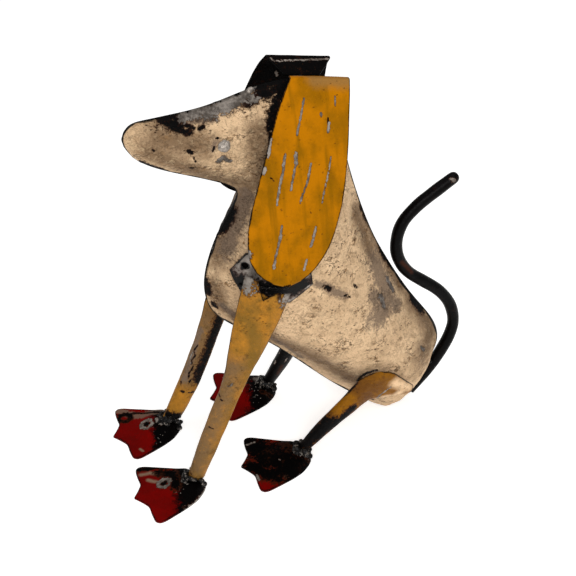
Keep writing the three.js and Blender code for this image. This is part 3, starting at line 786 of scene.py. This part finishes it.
LEFT_HIND_LEG_MARKS = (
    Mark("patch", ((378, 403), (386, 401), (394, 397), (402, 391)), 4.0),
    Mark("patch", ((395, 383), (402, 385), (409, 387)), 4.6),
    Mark("burn", ((300, 446), (312, 436), (326, 426)), 9.0),
    Mark("burn", ((326, 430), (340, 420), (352, 410)), 4.5),
    Mark("burn", ((330, 410), (344, 396), (356, 384)), 1.6),
    # Painted highlight along the fold between the tube and the rear flap.
    Mark("bare", ((375, 400), (380, 395), (391, 387)), 0.9),
    Mark("burn", ((366, 402), (376, 402)), 2.2),
    Mark("burn", ((362, 373), (369, 366), (380, 368)), 2.4),
    # Painted highlight along the ridge at the top of the hip.
    Mark("bare", ((364, 374), (370, 368), (378, 368)), 0.8),
)

RIGHT_HIND_LEG_MARKS = (
    Mark("bare", ((279, 352), (281, 357)), 0.9),
    Mark("bare", ((276, 360), (274, 364)), 0.9),
    Mark("bare", ((287, 358), (285, 362)), 0.8),
    Mark("patch", ((282, 366), (278, 374)), 1.6),
)

PAW_MARKS = {
    "left_front": (
        Mark("bare", ((164, 483),), 1.9, ring=5.0),
        Mark("burn", ((164, 483),), 4.2),
        Mark("patch", ((148, 480), (158, 482)), 1.6),
        Mark("burn", ((138, 470), (160, 465), (186, 463)), 2.4),
        Mark("burn", ((160, 472), (172, 474), (176, 486)), 5.0),
        Mark("patch", ((141, 475), (150, 473), (160, 474)), 1.8),
        Mark("bare", ((184, 511), (194, 504), (203, 494)), 2.0),
    ),
    "right_front": (
        Mark("burn", ((125, 418),), 2.4, ring=5.0),
        Mark("bare", ((146.5, 424),), 1.8, ring=5.0),
        Mark("rub", ((118, 411), (135, 409), (160, 411)), 4.5),
        Mark("burn", ((118, 409), (135, 407), (160, 408)), 1.6),
        Mark("burn", ((146.5, 424),), 4.0),
        Mark("patch", ((140, 449), (143, 451)), 1.0),
        Mark("bare", ((157, 419), (162, 423)), 2.2),
    ),
    "left_hind": (
        Mark("burn", ((248, 442), (262, 452), (284, 462), (300, 470)), 16.0),
        Mark("burn", ((252, 466), (262, 472), (276, 476)), 9.0),
        Mark("rub", ((286, 476), (296, 471), (303, 465)), 3.0),
        Mark("bare", ((257, 475), (259, 480)), 1.1),
        Mark("bare", ((279, 459), (280, 460)), 1.0),
        Mark("bare", ((247, 445), (255, 442)), 1.0),
    ),
    "right_hind": (
        Mark("bare", ((252, 373), (262, 376)), 2.6),
        Mark("bare", ((266, 383), (270, 387)), 1.2),
        Mark("burn", ((262, 392), (274, 397)), 2.0),
    ),
}

PLATE_MARKS = (
    Mark("burn", ((229, 279), (242, 283), (262, 288), (286, 290), (304, 284)), 7.5),
    Mark("burn", ((244.5, 264.5),), 2.4),
    # Painted highlight along the plate's lower right edge.
    Mark("bare", ((304, 290), (312, 284)), 0.9),
)

COATS = {
    "cream": Coat(
        "cream", "cream_shade", "dirt_and_shade", 0.6, cloud=0.35, pits=0.95, mottle=0.9, grime=0.4, edge=1.0,
        relief=4.6,
    ),
    "yellow": Coat(
        "yellow", "yellow_shade", "ear_soil", 0.5, blotch=26, cloud=0.7, pits=0.45, grime=0.16, edge=0.45,
        streaks=(3.2, 1, 0.22), flake_highlight=0.08, ior=1.1,
    ),
    "black": Coat(
        "black", "black", "brown", 0.35, pits=0.2, grime=0.2, edge=0.4, flake_highlight=0.4, ior=1.15,
    ),
    "ochre": Coat(
        "ochre", "ochre_shade", "leg_tan", 0.48, blotch=20, cloud=0.9, pits=0.5, mottle=0.35, grime=0.45,
        edge=0.4, relief=1.4, streaks=(1.6, 1, 0.3),
    ),
    "mustard": Coat(
        "mustard", "mustard_shade", "cream", 0.48, cloud=0.7, pits=0.6, mottle=0.5, grime=0.4, edge=0.4,
        relief=1.2,
    ),
    "red": Coat(
        "red", "red_shade", "toe_soil", 0.55, pits=0.2, grime=0.12, edge=0.35, heel=True, flake_highlight=0.08,
        ior=1.08,
    ),
    "steel": Coat(
        "steel", "steel_shade", "brown", 0.42, metallic=0.5, pits=0.4, grime=0.3, edge=0.4, ior=1.4,
    ),
}


def dress(piece, node, finish, slot):
    """Puts a piece in a CAD node's place and gives it its finish."""
    piece.data.materials.clear()
    piece.data.materials.append(finish)
    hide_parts(node)
    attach(piece, "root")


def material(name):
    """The worn paint of a coat, made the first time it is asked for."""
    title = f"worn_{name}"
    return bpy.data.materials.get(title) or worn_paint(title, COATS[name])


def weld(name, dabs, finish, seed):
    """A run of weld: overlapping dabs melted into one another. Each dab is (place, radius)."""
    rng = random.Random(seed)
    form = bmesh.new()
    for place, radius in dabs:
        squash = Matrix.Diagonal((rng.uniform(0.8, 1.15), rng.uniform(0.8, 1.15), rng.uniform(0.6, 0.9), 1))
        turn = Matrix.Rotation(rng.uniform(0, math.tau), 4, "Z")
        shape = Matrix.Translation(place) @ turn @ squash
        bmesh.ops.create_icosphere(form, subdivisions=2, radius=radius, matrix=shape)
    piece = new_piece(name, form)
    melt = piece.modifiers.new("Melt", "REMESH")
    melt.mode = "VOXEL"
    melt.voxel_size = WELD_VOXEL
    settle(piece)
    push(piece, lambda place, normal: waves(place, (0.35, 2.2)))
    form = bmesh.new()
    form.from_mesh(piece.data)
    bmesh.ops.smooth_vert(
        form, verts=form.verts[:], factor=0.5, use_axis_x=True, use_axis_y=True, use_axis_z=True
    )
    form.to_mesh(piece.data)
    form.free()
    smooth_faces(piece)
    piece.data.materials.append(finish)
    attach(piece, "root")
    return piece


def weld_material(name):
    """The metal of a kind of weld, made the first time it is asked for."""
    return bpy.data.materials.get(name) or weld_metal(name, WELD_BRIGHTNESS[name])


def run_of_dabs(path, radius, rng):
    """Dabs along a line, uneven in size and place."""
    dabs = []
    for first, last in zip(path, path[1:]):
        steps = max(round((last - first).length / (DAB_SPACING * radius)), 1)
        for step in range(steps):
            place = first.lerp(last, step / steps)
            wander = Vector([rng.uniform(-0.25, 0.25) * radius for _ in range(3)])
            dabs.append((place + wander, radius * rng.uniform(0.75, 1.2)))
    dabs.append((path[-1].copy(), radius))
    return dabs


def node_tree_of(*nodes):
    """A search tree over the surfaces of CAD nodes."""
    points = []
    faces = []
    for node in nodes:
        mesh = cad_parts[node].data
        start = len(points)
        points += [vertex.co.copy() for vertex in mesh.vertices]
        faces += [[start + index for index in face.vertices] for face in mesh.polygons]
    return BVHTree.FromPolygons(points, faces)


# Operators.


class PieceOperator:
    """What the making operators share."""

    bl_options = {"REGISTER", "UNDO"}


class SCRAPDOG_OT_camera(PieceOperator, bpy.types.Operator):
    """Set the camera at the photograph's angle"""

    bl_idname = "scrapdog.camera"
    bl_label = "Camera"

    def execute(self, context):
        look, right, up = camera_axes()
        lens = bpy.data.cameras.new("camera")
        lens.sensor_width = SENSOR_MM
        lens.lens = SENSOR_MM * LENS_PIXELS / PICTURE
        camera = bpy.data.objects.new("camera", lens)
        turn = Matrix((right, up, -look)).transposed().to_4x4()
        camera.matrix_world = Matrix.Translation(camera_place()) @ turn
        context.scene.collection.objects.link(camera)
        context.scene.camera = camera
        context.scene.view_settings.view_transform = "Standard"
        return {"FINISHED"}


class SCRAPDOG_OT_shells(PieceOperator, bpy.types.Operator):
    """Make the two hammered half shells of the body"""

    bl_idname = "scrapdog.shells"
    bl_label = "Half shells"

    DENT_RADIUS = 0.75  # in shares of the distance between dents

    def execute(self, context):
        made = {}
        for word, side in SIDES.items():
            node = f"{word}_half_shell"
            shell = fine_copy(node, f"{node}_hammered", 3)
            self.hammer(shell, side)
            draw_marks(shell, SHELL_MARKS, made.get("left"))
            draw_rim(shell, node)
            dress(shell, node, material("cream"), "cream")
            made[word] = shell
        return {"FINISHED"}

    def hammer(self, shell, side):
        """Beats shallow dents and soft waves into the outer face."""
        size = sizes()

        def height(place, normal):
            if normal.y * side < 0:
                return 0
            away = noise.voronoi(place / size.dent_spacing)[0][0]
            dent = -size.dent_depth * max(0, 1 - (away / self.DENT_RADIUS) ** 2)
            return (dent + waves(place, (0.9, 34), (0.25, 9))) * min(normal.y * side * 2, 1)

        push(shell, height)


class SCRAPDOG_OT_seam(PieceOperator, bpy.types.Operator):
    """Run a bead of weld along the seam between the half shells"""

    bl_idname = "scrapdog.seam"
    bl_label = "Seam bead"

    SWELL = 0.3
    SWELL_LENGTH = 20 * MM

    def execute(self, context):
        loop = self.seam_loop()
        radius = sizes().seam_bead
        curve = bpy.data.curves.new("seam_bead", "CURVE")
        curve.dimensions = "3D"
        curve.bevel_depth = radius
        curve.bevel_resolution = 3
        curve.resolution_u = 6
        spline = curve.splines.new("BEZIER")
        spline.bezier_points.add(len(loop) - 1)
        spline.use_cyclic_u = True
        for point, place in zip(spline.bezier_points, loop):
            point.co = (place.x, seam_plane(), max(place.z, radius))
            point.handle_left_type = "AUTO"
            point.handle_right_type = "AUTO"
            point.radius = 1 + self.SWELL * noise.noise(place / self.SWELL_LENGTH)
        bead = bpy.data.objects.new("seam_bead", curve)
        context.scene.collection.objects.link(bead)
        context.view_layer.update()
        mesh = bpy.data.meshes.new_from_object(bead.evaluated_get(context.evaluated_depsgraph_get()))
        bpy.data.objects.remove(bead)
        bead = bpy.data.objects.new("seam_bead", mesh)
        context.scene.collection.objects.link(bead)
        push(bead, lambda place, normal: waves(place, (0.4, 2.6)))
        smooth_faces(bead)
        mesh.materials.clear()
        mesh.materials.append(weld_material("seam_weld"))
        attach(bead, "root")
        return {"FINISHED"}

    @staticmethod
    def seam_loop():
        """The outline of the body in the seam plane."""
        form = joined_copy("left_half_shell")
        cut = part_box("left_half_shell")[1][1] - 0.5 * MM
        whole = form.verts[:] + form.edges[:] + form.faces[:]
        found = bmesh.ops.bisect_plane(form, geom=whole, plane_co=(0, cut, 0), plane_no=(0, 1, 0))
        edges = [item for item in found["geom_cut"] if isinstance(item, bmesh.types.BMEdge)]
        beside = {}
        for edge in edges:
            for first, last in (edge.verts, reversed(edge.verts)):
                beside.setdefault(first, []).append(last)
        loops = []
        while beside:
            start = next(iter(beside))
            loop = [start]
            while True:
                steps = [vertex for vertex in beside.pop(loop[-1], []) if vertex in beside]
                if not steps:
                    break
                loop.append(steps[0])
            loops.append([vertex.co.copy() for vertex in loop])
        form.free()
        return max(loops, key=lambda loop: sum((a - b).length for a, b in zip(loop, loop[1:])))


class SCRAPDOG_OT_ears(PieceOperator, bpy.types.Operator):
    """Make the folded ears"""

    bl_idname = "scrapdog.ears"
    bl_label = "Ears"

    FLUTE_WIDTH = 11 * MM
    FLUTE_LENGTH = 120 * MM
    DENT_SIZE = 30 * MM
    DENT_SHARE = 0.7  # height of the dents in shares of the flutes'
    FOLD_LEAN = 0.35  # how far round the fold the burnt inner face reaches
    TURNED_IN = -0.05  # lean of a face towards the body, from which on it is burnt
    SCORCH_MM = 30  # reach of the scorched top, down from the fold

    def execute(self, context):
        for word, side in SIDES.items():
            node = f"{word}_ear"
            ear = fine_copy(node, f"{node}_sheet", 2, cuts=1)
            self.flute(ear, side)
            draw_marks(ear, LEFT_EAR_MARKS if word == "left" else RIGHT_EAR_MARKS)
            draw_rim(ear, node)
            self.burn_inside(ear, side)
            if word == "right":
                self.scorch_top(ear)
            dress(ear, node, material("yellow"), "yellow")
        return {"FINISHED"}

    def flute(self, ear, side):
        """Soft flutes down the lobe, the same on both faces of the sheet."""
        mesh = ear.data
        places, _ = vertex_arrays(mesh)
        ripple = sizes().ear_ripple
        for index, place in enumerate(places):
            flute = noise.noise(Vector((place[0] / self.FLUTE_WIDTH, 0, place[2] / self.FLUTE_LENGTH)))
            dent = noise.noise(Vector(place) / self.DENT_SIZE)
            places[index][1] += side * ripple * (flute + self.DENT_SHARE * dent)
        mesh.vertices.foreach_set("co", places.ravel())
        mesh.update()

    def burn_inside(self, ear, side):
        """Blackens the face that looks at the body."""
        _, normals = vertex_arrays(ear.data)
        inside = normals[:, 1] * side + self.FOLD_LEAN * normals[:, 2] < self.TURNED_IN
        burn = read_field(ear.data, "burn")
        burn[inside] = 1
        write_field(ear.data, "burn", burn)

    def scorch_top(self, ear):
        """Blackens the flange and bend, which were welded last."""
        places, _ = vertex_arrays(ear.data)
        depth = (places[:, 2].max() - places[:, 2]) / MM
        burn = read_field(ear.data, "burn")
        write_field(ear.data, "burn", np.maximum(burn, 1 - depth / self.SCORCH_MM))


class SCRAPDOG_OT_legs(PieceOperator, bpy.types.Operator):
    """Make the rolled legs"""

    bl_idname = "scrapdog.legs"
    bl_label = "Legs"

    # The coat, the slot and the marks of each leg.
    LEGS = {
        "left_front": ("ochre", "ochre", LEFT_FRONT_LEG_MARKS),
        "right_front": ("ochre", "ochre", RIGHT_FRONT_LEG_MARKS),
        "left_hind": ("mustard", "mustard", LEFT_HIND_LEG_MARKS),
        "right_hind": ("black", "black", RIGHT_HIND_LEG_MARKS),
    }

    def execute(self, context):
        for word, (coat, slot, marks) in self.LEGS.items():
            node = f"{word}_leg"
            leg = fine_copy(node, f"{node}_rolled", 3)
            push(leg, lambda place, normal: waves(place, (0.5, 16), (0.15, 5)))
            draw_marks(leg, marks)
            draw_rim(leg, node)
            dress(leg, node, material(coat), slot)
        return {"FINISHED"}


class SCRAPDOG_OT_paws(PieceOperator, bpy.types.Operator):
    """Make the cut and dished paws"""

    bl_idname = "scrapdog.paws"
    bl_label = "Paws"

    HEEL_FROM = 0.56  # share of the paw's length at which the black heel starts
    HEEL_SLANT = 0.25

    def execute(self, context):
        for word in PAWS:
            node = f"{word}_paw"
            paw = fine_copy(node, f"{node}_cut", 2, cuts=1)
            push(paw, lambda place, normal: waves(place, (0.3, 14)) * max(normal.z, 0))
            draw_marks(paw, PAW_MARKS[word])
            draw_rim(paw, node)
            low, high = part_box(node)
            places, _ = vertex_arrays(paw.data)
            share = (places[:, 0] - low[0]) / (high[0] - low[0])
            slant = self.HEEL_SLANT * (places[:, 1] - (low[1] + high[1]) / 2) / (high[1] - low[1])
            write_field(paw.data, "heel", share - slant - self.HEEL_FROM)
            dress(paw, node, material("red"), "red")
        return {"FINISHED"}


class SCRAPDOG_OT_plates(PieceOperator, bpy.types.Operator):
    """Make the shoulder plates"""

    bl_idname = "scrapdog.plates"
    bl_label = "Shoulder plates"

    def execute(self, context):
        made = {}
        for word in SIDES:
            node = f"{word}_shoulder_plate"
            plate = fine_copy(node, f"{node}_beaten", 0, cuts=2)
            draw_marks(plate, PLATE_MARKS, made.get("left"))
            draw_rim(plate, node)
            dress(plate, node, material("steel"), "bare_steel")
            made[word] = plate
        return {"FINISHED"}


class SCRAPDOG_OT_tail(PieceOperator, bpy.types.Operator):
    """Make the bent rod of the tail"""

    bl_idname = "scrapdog.tail"
    bl_label = "Tail"

    MARKS = (
        # Painted highlight: bare steel where the rounded tip of the rod catches the light.
        Mark("bare", ((451, 179), (454, 181)), 1.6),
        Mark("patch", ((402, 262), (412, 272)), 1.6),
    )
    RIM_AWAY = 9.0  # a rod has no cut edge near by, in millimetres

    def execute(self, context):
        tail = fine_copy("tail", "tail_rod", 3)
        push(tail, lambda place, normal: waves(place, (0.3, 12)))
        draw_marks(tail, self.MARKS)
        write_field(tail.data, "rim", np.full(len(tail.data.vertices), self.RIM_AWAY))
        dress(tail, "tail", material("black"), "black")
        return {"FINISHED"}


class SCRAPDOG_OT_eyes(PieceOperator, bpy.types.Operator):
    """Make the eyes, a round dab of weld on each cheek"""

    bl_idname = "scrapdog.eyes"
    bl_label = "Eyes"

    def execute(self, context):
        for word in SIDES:
            node = f"{word}_eye"
            eye = fine_copy(node, f"{node}_dab", 3, sharp_deg=70)
            push(eye, lambda place, normal: waves(place, (0.9, 3), (0.4, 1.4)))
            dress(eye, node, weld_material("bright_weld"), "bare_steel")
        return {"FINISHED"}


class SCRAPDOG_OT_welds(PieceOperator, bpy.types.Operator):
    """Make the welds that hold the pieces together"""

    bl_idname = "scrapdog.welds"
    bl_label = "Welds"

    # Round each ankle: an even ring of dabs, then a heap at one side. Widths are shares of the foot's.
    COLLAR_DABS = 13
    COLLAR_WIDTHS = (1.0, 1.2)
    HEAP_DABS = 15
    HEAP_WIDTHS = (1.1, 1.8)
    HEAP_HEIGHT = 6 * MM
    HEAP_TURN = -2.0
    HEAP_SPREAD = 1.2
    # Across the top of each leg.
    TOP_BAND = 16 * MM
    TOP_STEPS = 6
    HIP_WELD = ((357, 381), (363, 375), (369, 372), (377, 370))
    # Between the tail and the rump.
    RUMP_DABS = ((432, 361), (417, 375), (425, 368))
    RUMP_RADIUS = 3.2 * MM
    # On the crown: the ends of the ear flanges, in millimetres behind the datum, and a dab before them.
    FLANGE_WELD = (44, 71)
    FLANGE_STEPS = 8
    BROW_DABS = ((249, 91), (251, 89))
    BROW_RADIUS = 2.6 * MM
    # Where a line that looks for a surface starts, in metres.
    ABOVE_FOOT = 0.02
    BESIDE_DOG = 0.2
    ABOVE_DOG = 0.5

    def execute(self, context):
        self.ankle_collars()
        self.leg_tops()
        self.tail_weld()
        self.crown_welds()
        return {"FINISHED"}

    def ankle_collars(self):
        """Spattered weld all round the foot of each leg."""
        for number, word in enumerate(PAWS):
            rng = random.Random(11 + number)
            tree = node_tree_of(f"{word}_paw")
            points = [v.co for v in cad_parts[f"{word}_leg"].data.vertices]
            foot = min(point.z for point in points)
            ring = [point for point in points if point.z < foot + 0.5 * MM]
            centre = sum(ring, Vector()) / len(ring)
            reach_x = max(abs(point.x - centre.x) for point in ring)
            reach_y = max(abs(point.y - centre.y) for point in ring)
            dabs = []
            for step in range(self.COLLAR_DABS + self.HEAP_DABS):
                if step < self.COLLAR_DABS:
                    angle = math.tau * step / self.COLLAR_DABS + rng.uniform(-0.1, 0.1)
                    wide = rng.uniform(*self.COLLAR_WIDTHS)
                else:
                    angle = self.HEAP_TURN + rng.uniform(-self.HEAP_SPREAD, self.HEAP_SPREAD)
                    wide = rng.uniform(*self.HEAP_WIDTHS)
                out = Vector((reach_x * wide * math.cos(angle), reach_y * wide * math.sin(angle), 0))
                start = centre + out + Vector((0, 0, self.ABOVE_FOOT))
                place = tree.ray_cast(start, Vector((0, 0, -1)))[0]
                if place:
                    lift = Vector((0, 0, rng.uniform(0, self.HEAP_HEIGHT) * (2 - wide)))
                    radius = 1.4 * sizes().weld_radius * rng.uniform(0.65, 1.15) / wide ** 0.7
                    dabs.append((place + lift, radius))
            weld(f"{word}_ankle_weld", dabs, weld_material("ankle_weld"), 21 + number)

    def leg_tops(self):
        """Weld under the wide top of each leg."""
        for number, word in enumerate(PAWS):
            rng = random.Random(31 + number)
            hand = word.split("_")[0]
            side = SIDES[hand]
            body = node_tree_of(f"{hand}_half_shell", f"{hand}_shoulder_plate")
            points = [v.co.copy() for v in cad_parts[f"{word}_leg"].data.vertices]
            top = max(point.z for point in points)
            band = sorted((point for point in points if point.z > top - self.TOP_BAND), key=lambda p: p.x)
            path = []
            for step in range(self.TOP_STEPS + 1):
                place = band[0].lerp(band[-1], step / self.TOP_STEPS)
                start = Vector((place.x, side * self.BESIDE_DOG, place.z))
                path.append(body.ray_cast(start, Vector((0, -side, 0)))[0] or place)
            radius = 1.15 * sizes().weld_radius
            if word == "left_hind":
                hip = node_tree_of("left_half_shell", "left_hind_leg")
                path = [land(hip, pixel) for pixel in self.HIP_WELD]
                radius = 0.6 * sizes().weld_radius
            dabs = run_of_dabs(path, radius, rng)
            weld(f"{word}_top_weld", dabs, weld_material("dark_weld"), 41 + number)

    def tail_weld(self):
        """Weld between the tail and the rump."""
        tree = node_tree_of("tail")
        rng = random.Random(51)
        dabs = []
        for pixel in self.RUMP_DABS:
            place = land(tree, pixel)
            place.y = seam_plane()
            for _ in range(3):
                dabs.append((place + Vector((-3 * MM, rng.uniform(-3, 3) * MM, 0)), self.RUMP_RADIUS))
        weld("tail_weld", dabs, weld_material("dark_weld"), 52)

    def crown_welds(self):
        """A bead that holds the ear flanges to the crown seam, and a dab before it."""
        shells = node_tree_of("left_half_shell", "right_half_shell")
        rng = random.Random(61)
        beside = 0.6 * MM  # the bead runs this far beside the seam and twice as far above it
        front, rear = (datum().x + value * MM for value in self.FLANGE_WELD)
        path = []
        for step in range(self.FLANGE_STEPS + 1):
            x = front + (rear - front) * step / self.FLANGE_STEPS
            start = Vector((x, seam_plane() + beside, self.ABOVE_DOG))
            found = shells.ray_cast(start, Vector((0, 0, -1)))[0]
            path.append(found + Vector((0, -beside, 2 * beside)))
        dabs = run_of_dabs(path, 0.7 * sizes().weld_radius, rng)
        weld("crown_weld", dabs, weld_material("dark_weld"), 62)
        shell = node_tree_of("left_half_shell")
        dabs = [(land(shell, pixel), self.BROW_RADIUS) for pixel in self.BROW_DABS]
        weld("brow_weld", dabs, weld_material("bright_weld"), 63)


class SCRAPDOG_OT_stage(PieceOperator, bpy.types.Operator):
    """Make the floor and the studio lights"""

    bl_idname = "scrapdog.stage"
    bl_label = "Stage"

    # Places and sizes in metres. Both lights face the middle of the dog.
    MIDDLE = Vector((0, 0, 0.15))
    KEY_PLACE = Vector((-0.35, -1.4, 1.15))
    KEY_SIZE = 0.7
    FILL_PLACE = Vector((0.1, 0.1, 1.6))
    FILL_SIZE = 1.2
    PAPER_CLOUD = 0.4

    def execute(self, context):
        stage = context.scene.scrap_dog_stage
        form = bmesh.new()
        bmesh.ops.create_grid(form, x_segments=1, y_segments=1, size=stage.floor_size / 2)
        floor = new_piece("floor", form)
        floor.data.materials.append(self.paper(tuple(stage.floor_colour), stage.floor_glow))
        world = bpy.data.worlds.new("sky")
        world.use_nodes = True
        sky = world.node_tree.nodes["Background"]
        sky.inputs["Color"].default_value = (1, 1, 1, 1)
        sky.inputs["Strength"].default_value = stage.sky
        context.scene.world = world
        self.lamp("key", stage.key_power, self.KEY_PLACE, self.KEY_SIZE)
        self.lamp("fill", stage.fill_power, self.FILL_PLACE, self.FILL_SIZE)
        return {"FINISHED"}

    def paper(self, colour, glow):
        """White paper with hardly visible clouds, that gives some light of itself."""
        graph = Graph("floor_paper")
        cloud = graph.noise(graph.place(), self.PAPER_CLOUD, 2, 0.5)
        darker = tuple(value * 0.99 for value in colour)
        normal = graph.bump(cloud, 0.05, 0.2 * MM)
        return graph.surface(graph.mix(colour, darker, cloud), 0.9, 0.0, normal, 1.05, glow)

    def lamp(self, name, power, place, size):
        """A square soft light."""
        light = bpy.data.lights.new(name, "AREA")
        light.energy = power
        light.size = size
        lamp = bpy.data.objects.new(name, light)
        lamp.location = place
        lamp.rotation_euler = (self.MIDDLE - place).to_track_quat("-Z", "Y").to_euler()
        bpy.context.scene.collection.objects.link(lamp)


class SCRAPDOG_PT_panel(bpy.types.Panel):
    """Lists the dog's operators and settings"""

    bl_label = "Scrap Dog"
    bl_idname = "SCRAPDOG_PT_panel"
    bl_space_type = "VIEW_3D"
    bl_region_type = "UI"
    bl_category = "Scrap Dog"

    def draw(self, context):
        for operator in OPERATORS:
            self.layout.operator(operator.bl_idname)
        for title in GROUPS:
            group = getattr(context.scene, title)
            for name in group.bl_rna.properties.keys():
                if name not in ("rna_type", "name"):
                    self.layout.prop(group, name)


GROUPS = {
    "scrap_dog_paints": ScrapDogPaints,
    "scrap_dog_sizes": ScrapDogSizes,
    "scrap_dog_stage": ScrapDogStage,
}
OPERATORS = (
    SCRAPDOG_OT_camera,
    SCRAPDOG_OT_shells,
    SCRAPDOG_OT_seam,
    SCRAPDOG_OT_ears,
    SCRAPDOG_OT_legs,
    SCRAPDOG_OT_paws,
    SCRAPDOG_OT_plates,
    SCRAPDOG_OT_tail,
    SCRAPDOG_OT_eyes,
    SCRAPDOG_OT_welds,
    SCRAPDOG_OT_stage,
)


def register():
    for name, group in GROUPS.items():
        bpy.utils.register_class(group)
        setattr(bpy.types.Scene, name, bpy.props.PointerProperty(type=group))
    for operator in OPERATORS:
        bpy.utils.register_class(operator)
    bpy.utils.register_class(SCRAPDOG_PT_panel)


def unregister():
    bpy.utils.unregister_class(SCRAPDOG_PT_panel)
    for operator in reversed(OPERATORS):
        bpy.utils.unregister_class(operator)
    for name, group in GROUPS.items():
        delattr(bpy.types.Scene, name)
        bpy.utils.unregister_class(group)


def main():
    register()
    bpy.ops.scrapdog.camera()
    bpy.ops.scrapdog.shells()
    bpy.ops.scrapdog.seam()
    bpy.ops.scrapdog.ears()
    bpy.ops.scrapdog.legs()
    bpy.ops.scrapdog.paws()
    bpy.ops.scrapdog.plates()
    bpy.ops.scrapdog.tail()
    bpy.ops.scrapdog.eyes()
    bpy.ops.scrapdog.welds()
    bpy.ops.scrapdog.stage()


if __name__ == "__main__":
    main()
